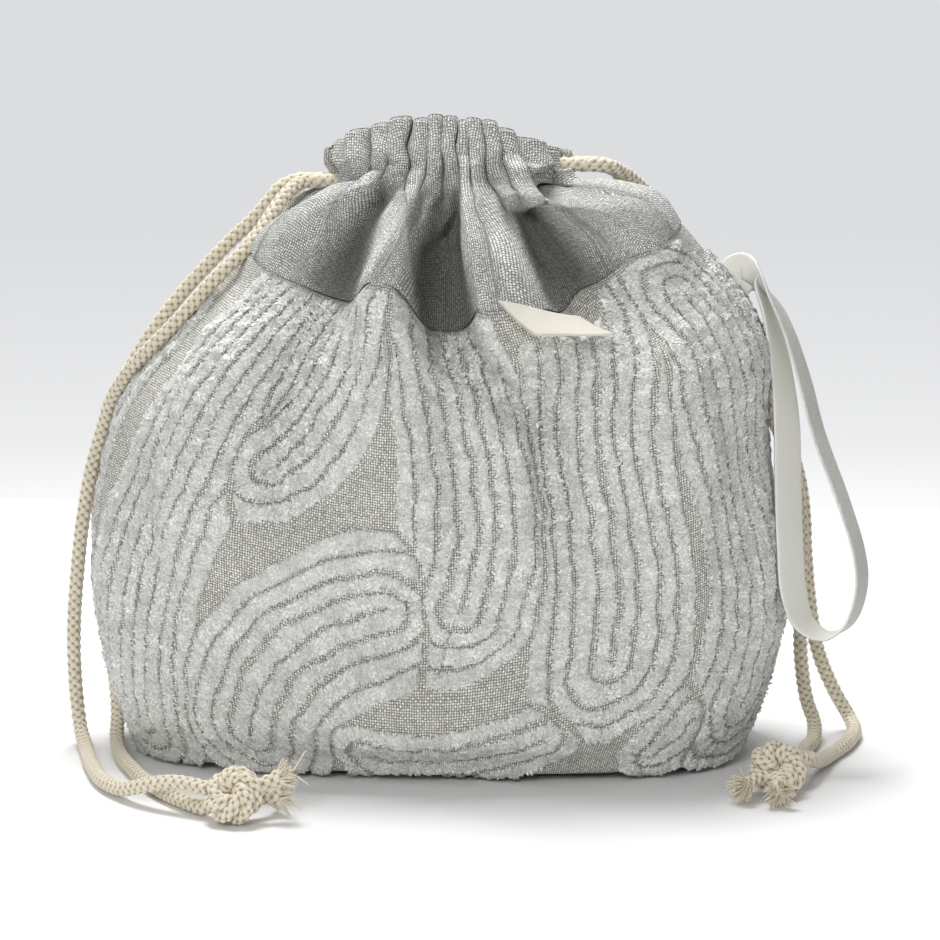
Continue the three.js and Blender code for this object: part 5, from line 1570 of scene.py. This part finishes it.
class BAG_OT_outer_panels(bpy.types.Operator):
    """Tufted front and back panels with their pile"""
    bl_idname = "bag.outer_panels"
    bl_label = "Outer panels"

    def execute(self, context):
        settings = context.scene.bag_cloth
        cloth = tufted_material(settings)
        lock = lock_material(settings)
        self.panel(settings, True, cloth, lock, 2)
        self.panel(settings, False, cloth, lock, 1)
        return {"FINISHED"}

    def panel(self, settings, is_front, cloth, lock, pile_parts):
        """Wall from the band seam to the base edge, then the base to the bottom seam, with raised tufted
        lines."""
        name = "front" if is_front else "back"
        step = settings.grid_step / MM
        pile = settings.pile_height / MM
        angles, right = even_angles(int(PANEL_WIDTH / step))
        total = wall_lines(angles)[1][-1]
        rows = int(PANEL_HEIGHT / step)
        share = np.linspace(0.0, 1.0, rows)[:, None]
        top = band_end(angles)
        lengths = top + share * (total - top)
        wall, hollow = cloth_points(is_front, angles, lengths, PANEL_DEPTH)
        wall[..., 2] = np.maximum(wall[..., 2], pile + PANEL_LIFT)
        inward = np.linspace(0.0, 1.0, PANEL_BASE_ROWS)[1:, None]
        grid = rounded_edge(with_base(wall, inward, pile + PANEL_LIFT), rows, BASE_ROUND / step)
        base = (len(inward), len(angles))
        above = np.concatenate([total - lengths, -inward * BASE_DEPTH * np.ones_like(right)])
        across = np.broadcast_to(right if is_front else -right, above.shape)
        line, along, bare, cover = tuft_field(across, above)
        below_seam = np.concatenate([lengths - top, np.full(base, BASE_BELOW_SEAM)])
        side_gap = np.minimum(np.abs(across - across[:, :1]), np.abs(across - across[:, -1:]))
        cover *= (smooth_step(TUFT_SEAM_START, TUFT_SEAM_FADE, below_seam)
                  * smooth_step(0.0, TUFT_SEAM_FADE, side_gap))
        if is_front:
            beside = np.abs(grid[..., 0] - LABEL_MIDDLE) - LABEL_CLEAR_HALF
            cover *= smooth_step(0.0, TUFT_SEAM_FADE, np.maximum(beside, below_seam - LABEL_CLEAR_LENGTH))
        height = tuft_height(line, along, bare, cover)
        ditch = SEAM_DITCH * (1 - smooth_step(0.0, SEAM_DITCH_WIDTH, below_seam))
        normal = surface_frame(grid)[0] * (1 if is_front else -1)
        grid = grid + normal * (pile * height - ditch)[..., None]
        grid[..., 2] = np.maximum(grid[..., 2], LOWEST_CLOTH)
        down = np.concatenate([lengths, np.broadcast_to(total + BASE_DEPTH * inward, base)])
        uv = np.stack([across, down], axis=-1)
        # Painted shade of the fold hollows, none on the base
        painted_panel_shade = np.concatenate([hollow, np.zeros(base)])
        faces = grid_faces(*grid.shape[:2])
        piece = put_mesh(f"{name}_panel_cloth", grid, faces if is_front else faces[:, ::-1], cloth, uv,
                         {"line": line, "along": along, "bare": bare, "cover": cover, "hollow": painted_panel_shade})
        dress(piece, "bag", "tufted_cloth", f"outer_{name}_panel")
        hair = [self.pile(settings, f"{name}_panel_pile_{part + 1}", part, is_front, grid[:rows], line[:rows],
                          along[:rows], height[:rows], lock) for part in range(pile_parts)]

    def pile(self, settings, name, part, is_front, grid, line, along, height, material):
        """Cut yarn ends: roof-shaped flakes that lie over both edges of a tufted line, turned by clumps."""
        rng = np.random.default_rng(SEED_PILE + 2 * part + int(is_front))
        count = settings.locks
        weight = np.sqrt(np.clip(height[:-1, :-1] - PILE_START, 0.0, 1.0).ravel())
        cell = np.searchsorted(np.cumsum(weight) / weight.sum(), rng.uniform(0.0, 1.0, count))
        i, j = np.unravel_index(np.minimum(cell, weight.size - 1), (height.shape[0] - 1, height.shape[1] - 1))
        a = rng.uniform(0.0, 1.0, (count, 1))
        b = rng.uniform(0.0, 1.0, (count, 1))
        root = (grid[i, j] * (1 - a) * (1 - b) + grid[i + 1, j] * a * (1 - b)
                + grid[i, j + 1] * (1 - a) * b + grid[i + 1, j + 1] * a * b)
        normal, over, down = surface_frame(grid)
        n = normal[i, j] * (1 if is_front else -1)
        slope_over = np.gradient(line, axis=1)[i, j][:, None]
        slope_down = np.gradient(line, axis=0)[i, j][:, None]
        across = unit(over[i, j] * slope_over + down[i, j] * slope_down + 1e-6)
        onward = np.cross(n, across)
        place = line[i, j] - np.floor(line[i, j])
        clump = lattice_noise(along[i, j] / PILE_CLUMP_LENGTH, line[i, j] * 2, SEED_PILE_CLUMP)
        edge_side = np.where(place < rng.uniform(*PILE_PARTING, count), -1.0, 1.0)[:, None]
        turn = (rng.normal(*PILE_TURN, count) + PILE_CLUMP_TURN * clump)[:, None]
        lie = across * np.cos(turn) * edge_side + onward * np.sin(turn)
        way = unit(n * rng.uniform(0.0, PILE_TILT, (count, 1)) + lie)
        to_edge = np.where(edge_side > 0, 1 - place[:, None], place[:, None]) * LINE_PITCH
        length = np.minimum(rng.uniform(*PILE_LENGTHS, (count, 1)), to_edge + PILE_OVERHANG)
        half = rng.uniform(*PILE_HALF_WIDTHS, (count, 1)) * unit(np.cross(way, n))
        crest = root + PILE_CREST_PLACE * length * way
        peak = crest + rng.uniform(*PILE_CREST_HEIGHTS, (count, 1)) * n
        foot = root - PILE_ROOT_DEPTH * n
        points = np.stack([foot, crest - half, peak, crest + half, root + length * way], axis=1)
        points[..., 2] = np.maximum(points[..., 2], PILE_LOWEST)
        size = points.shape[1]
        one = np.array([[0, 2, 1], [0, 3, 2], [1, 2, 4], [2, 3, 4]])
        faces = (one[None] + size * np.arange(count)[:, None, None]).reshape(-1, 3)
        tone = rng.uniform(0.0, PILE_TONE_SPREAD, count) + PILE_TONE_CLUMP * clump + PILE_TONE_LEAST
        tone = np.repeat(np.clip(tone, 0.0, 1.0), size)
        return dress(put_mesh(name, points, faces, material, values={"tone": tone}), "bag", "tufted_cloth")


class BAG_OT_band(bpy.types.Operator):
    """Gathered band, its facing inside the mouth and the lining"""
    bl_idname = "bag.band"
    bl_label = "Band and lining"

    def execute(self, context):
        settings = context.scene.bag_cloth
        plain = band_material(settings)
        inner = facing_material(settings)
        pale = lining_material(settings)
        for is_front in (True, False):
            self.band(is_front, plain)
            self.facing(is_front, inner)
            self.lining(is_front, pale)
        return {"FINISHED"}

    def band(self, is_front, material):
        """Outer cloth from the rim to the seam; the first rows roll over the rim. The weave is laid lobe by
        lobe about the lobe's middle, drawn in like the row it lies on."""
        name = "front" if is_front else "back"
        angles, right = even_angles(BAND_COLUMNS)
        share = np.linspace(0.0, 1.0, BAND_ROWS)[:, None]
        end = band_end(angles)
        wall = share * end
        roll = (len(RIM_ROLL_DEPTHS), len(angles))
        lengths = np.concatenate([np.zeros(roll), wall])
        ditch = SEAM_DITCH * smooth_step(SEAM_DITCH_WIDTH, 0.0, end - wall)
        depth = np.concatenate([np.broadcast_to(np.array(RIM_ROLL_DEPTHS)[:, None], roll), ditch])
        grid, hollow = cloth_points(is_front, angles, lengths, depth)
        grid[:roll[0], :, 2] += np.array(RIM_ROLL_RISES)[:, None]
        neck = plan_outline(angles, through_points(LEVELS, np.array([NECK_LEVEL]))[0])[:, 0]
        lobes = FRONT_LOBES if is_front else BACK_LOBES
        crease = np.interp(lobes[1:, 0], neck[::-1], right[::-1])
        middles = np.convolve(np.concatenate([right[-1:], crease, right[:1]]), (0.5, 0.5), "valid")
        middle = middles[np.searchsorted(crease, right)]
        width = np.linalg.norm(np.diff(grid, axis=1), axis=2).sum(axis=1)[:, None]
        over = middle + (right - middle) * width / PANEL_WIDTH
        uv = np.stack([over, running_length(grid)], axis=-1)
        faces = grid_faces(*grid.shape[:2])
        # The band carries the painted shade of its fold hollows and creases
        piece = put_mesh(f"{name}_band_cloth", grid, faces if is_front else faces[:, ::-1], material, uv,
                         {"hollow": hollow})
        dress(piece, "bag", "plain_cloth", f"band_{name}")

    def facing(self, is_front, material):
        """Inner cloth: down behind the header, in to the throat and out again to the seam. Below the throat
        it is the wall drawn in: its depth is a share of the least room that the band leaves nearby."""
        name = "front" if is_front else "back"
        angles, right = even_angles(FACING_GRID_COLUMNS)
        header = np.linspace(FACING_START, FACING_HEADER, FACING_HEADER_ROWS)[:, None] * np.ones_like(angles)
        top, _ = cloth_points(is_front, angles, header, FACING_DEPTH + FACING_SLOPE * header)
        low = np.linspace(FACING_TURN, FACING_FOOT, FACING_LOW_ROWS)[:, None] * np.ones_like(angles)
        sign = -1 if is_front else 1
        wall = along_walls(*wall_lines(angles), low) * (1.0, -sign, 1.0)
        band, _ = cloth_points(is_front, angles, low, 0.0)
        thick = np.abs(wall[..., 1])
        room = np.clip(sign * band[..., 1] / np.maximum(thick, FACING_END_DEPTH), 0.0, 1.0)
        room = np.where(thick < FACING_END_DEPTH, 1.0, room)
        share = FACING_DEPTH_SHARE * least_nearby(room, FACING_ROWS, FACING_COLUMNS)
        foot = wall * np.stack(np.broadcast_arrays(FACING_WIDTH_SHARE, share, 1.0), axis=-1)
        throat = np.stack([THROAT_HALF_WIDTH * np.cos(angles), sign * THROAT_HALF_DEPTH * np.sin(angles),
                           np.full_like(angles, THROAT_TOP)], axis=-1)
        low_throat = throat - (0.0, 0.0, THROAT_LENGTH)
        ease = smooth_step(0.0, 1.0, np.linspace(0.0, 1.0, FACING_THROAT_ROWS))[1:, None, None]
        inward = top[-1] + ease * (throat - top[-1])
        reach = smooth_step(0.0, FACING_REACH, np.linspace(0.0, 1.0, FACING_LOW_ROWS))[:, None, None]
        grid = np.vstack([top, inward, low_throat + reach * (foot - low_throat)])
        down = running_length(grid)
        across = np.broadcast_to(right if is_front else -right, down.shape)
        uv = np.stack([across, down], axis=-1)
        faces = grid_faces(*grid.shape[:2])
        piece = put_mesh(f"{name}_facing_cloth", grid, faces[:, ::-1] if is_front else faces, material, uv)
        dress(piece, "bag", "plain_cloth", f"facing_{name}")

    def lining(self, is_front, material):
        """Pale cloth inside the panel, following its folds a few millimetres in."""
        name = "front" if is_front else "back"
        angles, right = even_angles(LINING_COLUMNS)
        total = wall_lines(angles)[1][-1]
        top = band_end(angles) - LINING_OVERLAP
        lengths = top + np.linspace(0.0, 1.0, LINING_ROWS)[:, None] * (total - top)
        wall, _ = cloth_points(is_front, angles, lengths, LINING_DEPTH)
        wall[..., 2] = np.maximum(wall[..., 2], LINING_LIFT)
        inward = np.linspace(0.0, 1.0, LINING_BASE_ROWS)[1:, None]
        grid = rounded_edge(with_base(wall, inward, LINING_LIFT), len(wall), LINING_ROUND)
        down = running_length(grid)
        uv = np.stack([np.broadcast_to(right, down.shape), down], axis=-1)
        faces = grid_faces(*grid.shape[:2])
        piece = put_mesh(f"{name}_lining_cloth", grid, faces[:, ::-1] if is_front else faces, material, uv)
        dress(piece, "bag", "lining_cloth", f"lining_{name}")


class BAG_OT_wrist_strap(bpy.types.Operator):
    """Leather wrist strap sewn into the right side seam"""
    bl_idname = "bag.wrist_strap"
    bl_label = "Wrist strap"

    def execute(self, context):
        settings = context.scene.bag_trim
        half_width = settings.strap_width / MM / 2
        half_thick = settings.strap_thickness / MM / 2
        row = through_points(STRAP_PATH, np.linspace(0.0, len(STRAP_PATH) - 1.0, STRAP_ROWS))
        middle = row[:, :3]
        tangent = unit(np.gradient(middle, axis=0))
        width = row[:, 3:]
        width = unit(width - tangent * (width * tangent).sum(axis=1, keepdims=True))
        face = np.cross(tangent, width)
        turn = np.linspace(0.0, 2 * np.pi, STRAP_SIDES, endpoint=False)
        wide = np.sign(np.cos(turn)) * np.abs(np.cos(turn)) ** STRAP_EDGE_POWER * half_width
        thick = np.sign(np.sin(turn)) * np.abs(np.sin(turn)) ** STRAP_FACE_POWER * half_thick
        grid = middle[:, None] + width[:, None] * wide[None, :, None] + face[:, None] * thick[None, :, None]
        grained = np.broadcast_to(np.where(np.sin(turn) < 0, 1.0, 0.0), grid.shape[:2])
        edge = smooth_step(*STRAP_EDGE_SHARES, np.abs(wide) / half_width)
        values = {"grained": grained, "edge": np.broadcast_to(edge, grid.shape[:2])}
        faces = closed_tube_faces(len(grid), len(turn))
        piece = put_mesh("wrist_strap_leather", grid, faces, strap_material(settings), values=values)
        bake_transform(piece)
        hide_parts("wrist_strap")
        return {"FINISHED"}


class BAG_OT_label(bpy.types.Operator):
    """Bare folded label in the band seam"""
    bl_idname = "bag.label"
    bl_label = "Label"

    def execute(self, context):
        settings = context.scene.bag_trim
        side = np.linspace(0.0, 1.0, LABEL_COLUMNS)[None, :, None]
        root = LABEL_ROOT[0] + side * (LABEL_ROOT[1] - LABEL_ROOT[0])
        fold = LABEL_FOLD[0] + side * (LABEL_FOLD[1] - LABEL_FOLD[0])
        out = np.linspace(0.0, 1.0, LABEL_ROWS)
        bend = np.linspace(0.0, np.pi, LABEL_BEND_ROWS)[1:-1]
        share = np.concatenate([out, 1 + LABEL_BEND_BULGE * np.sin(bend), out[::-1]])[:, None, None]
        upper = np.full(LABEL_ROWS, 0.5)
        level = np.concatenate([upper, 0.5 * np.cos(bend), -upper])[:, None, None]
        grid = root + share * (fold - root)
        up = unit(np.cross(LABEL_ROOT[1] - LABEL_ROOT[0], LABEL_FOLD[0] - LABEL_ROOT[0]))
        up = up * np.sign(up[2])
        sag = LABEL_SAG * share * (1 - share) * 4
        wave = LABEL_WAVE * np.sin(2 * np.pi * side * LABEL_WAVES + LABEL_WAVE_PHASE)
        wave = wave * (1 - 0.5 * share) - sag
        opening = LABEL_ROOT_GAP_SHARE + (1 - LABEL_ROOT_GAP_SHARE) * np.minimum(share, 1.0)
        grid = grid + up * (LABEL_GAP * level * opening + wave)
        down = running_length(grid)
        uv = np.stack([np.broadcast_to(LABEL_WIDTH * side[..., 0], down.shape), down], axis=-1)
        piece = put_mesh("label_ribbon", grid, grid_faces(*grid.shape[:2]), label_material(settings), uv)
        thick = piece.modifiers.new("thickness", "SOLIDIFY")
        thick.thickness = LABEL_THICKNESS
        thick.offset = 0.0
        dress(piece, "label_tab", "label_cloth", "label")
        return {"FINISHED"}


class BAG_PT_pieces(bpy.types.Panel):
    """Lists the bag's pieces and their settings"""
    bl_idname = "BAG_PT_pieces"
    bl_label = "Project bag"
    bl_space_type = "VIEW_3D"
    bl_region_type = "UI"
    bl_category = "Project bag"

    def draw(self, context):
        for operator in OPERATORS:
            self.layout.operator(operator.bl_idname)
        for group in (context.scene.bag_cloth, context.scene.bag_trim, context.scene.bag_stage):
            column = self.layout.column()
            for name in group.bl_rna.properties.keys():
                if name not in ("rna_type", "name"):
                    column.prop(group, name)


OPERATORS = (BAG_OT_stage, BAG_OT_drawcords, BAG_OT_outer_panels, BAG_OT_band, BAG_OT_wrist_strap,
             BAG_OT_label)
GROUPS = (ClothSettings, TrimSettings, StageSettings)


def register():
    """Registers the settings, the operators and the panel."""
    for made in (*GROUPS, *OPERATORS, BAG_PT_pieces):
        bpy.utils.register_class(made)
    bpy.types.Scene.bag_cloth = PointerProperty(type=ClothSettings)
    bpy.types.Scene.bag_trim = PointerProperty(type=TrimSettings)
    bpy.types.Scene.bag_stage = PointerProperty(type=StageSettings)


def unregister():
    """Removes what register added."""
    del bpy.types.Scene.bag_stage
    del bpy.types.Scene.bag_trim
    del bpy.types.Scene.bag_cloth
    for made in reversed((*GROUPS, *OPERATORS, BAG_PT_pieces)):
        bpy.utils.unregister_class(made)


def main():
    """Builds the stage and the pieces in order."""
    register()
    bpy.ops.bag.stage()
    bpy.ops.bag.drawcords()
    bpy.ops.bag.outer_panels()
    bpy.ops.bag.band()
    bpy.ops.bag.wrist_strap()
    bpy.ops.bag.label()
    bpy.context.view_layer.update()


if __name__ == "__main__":
    main()
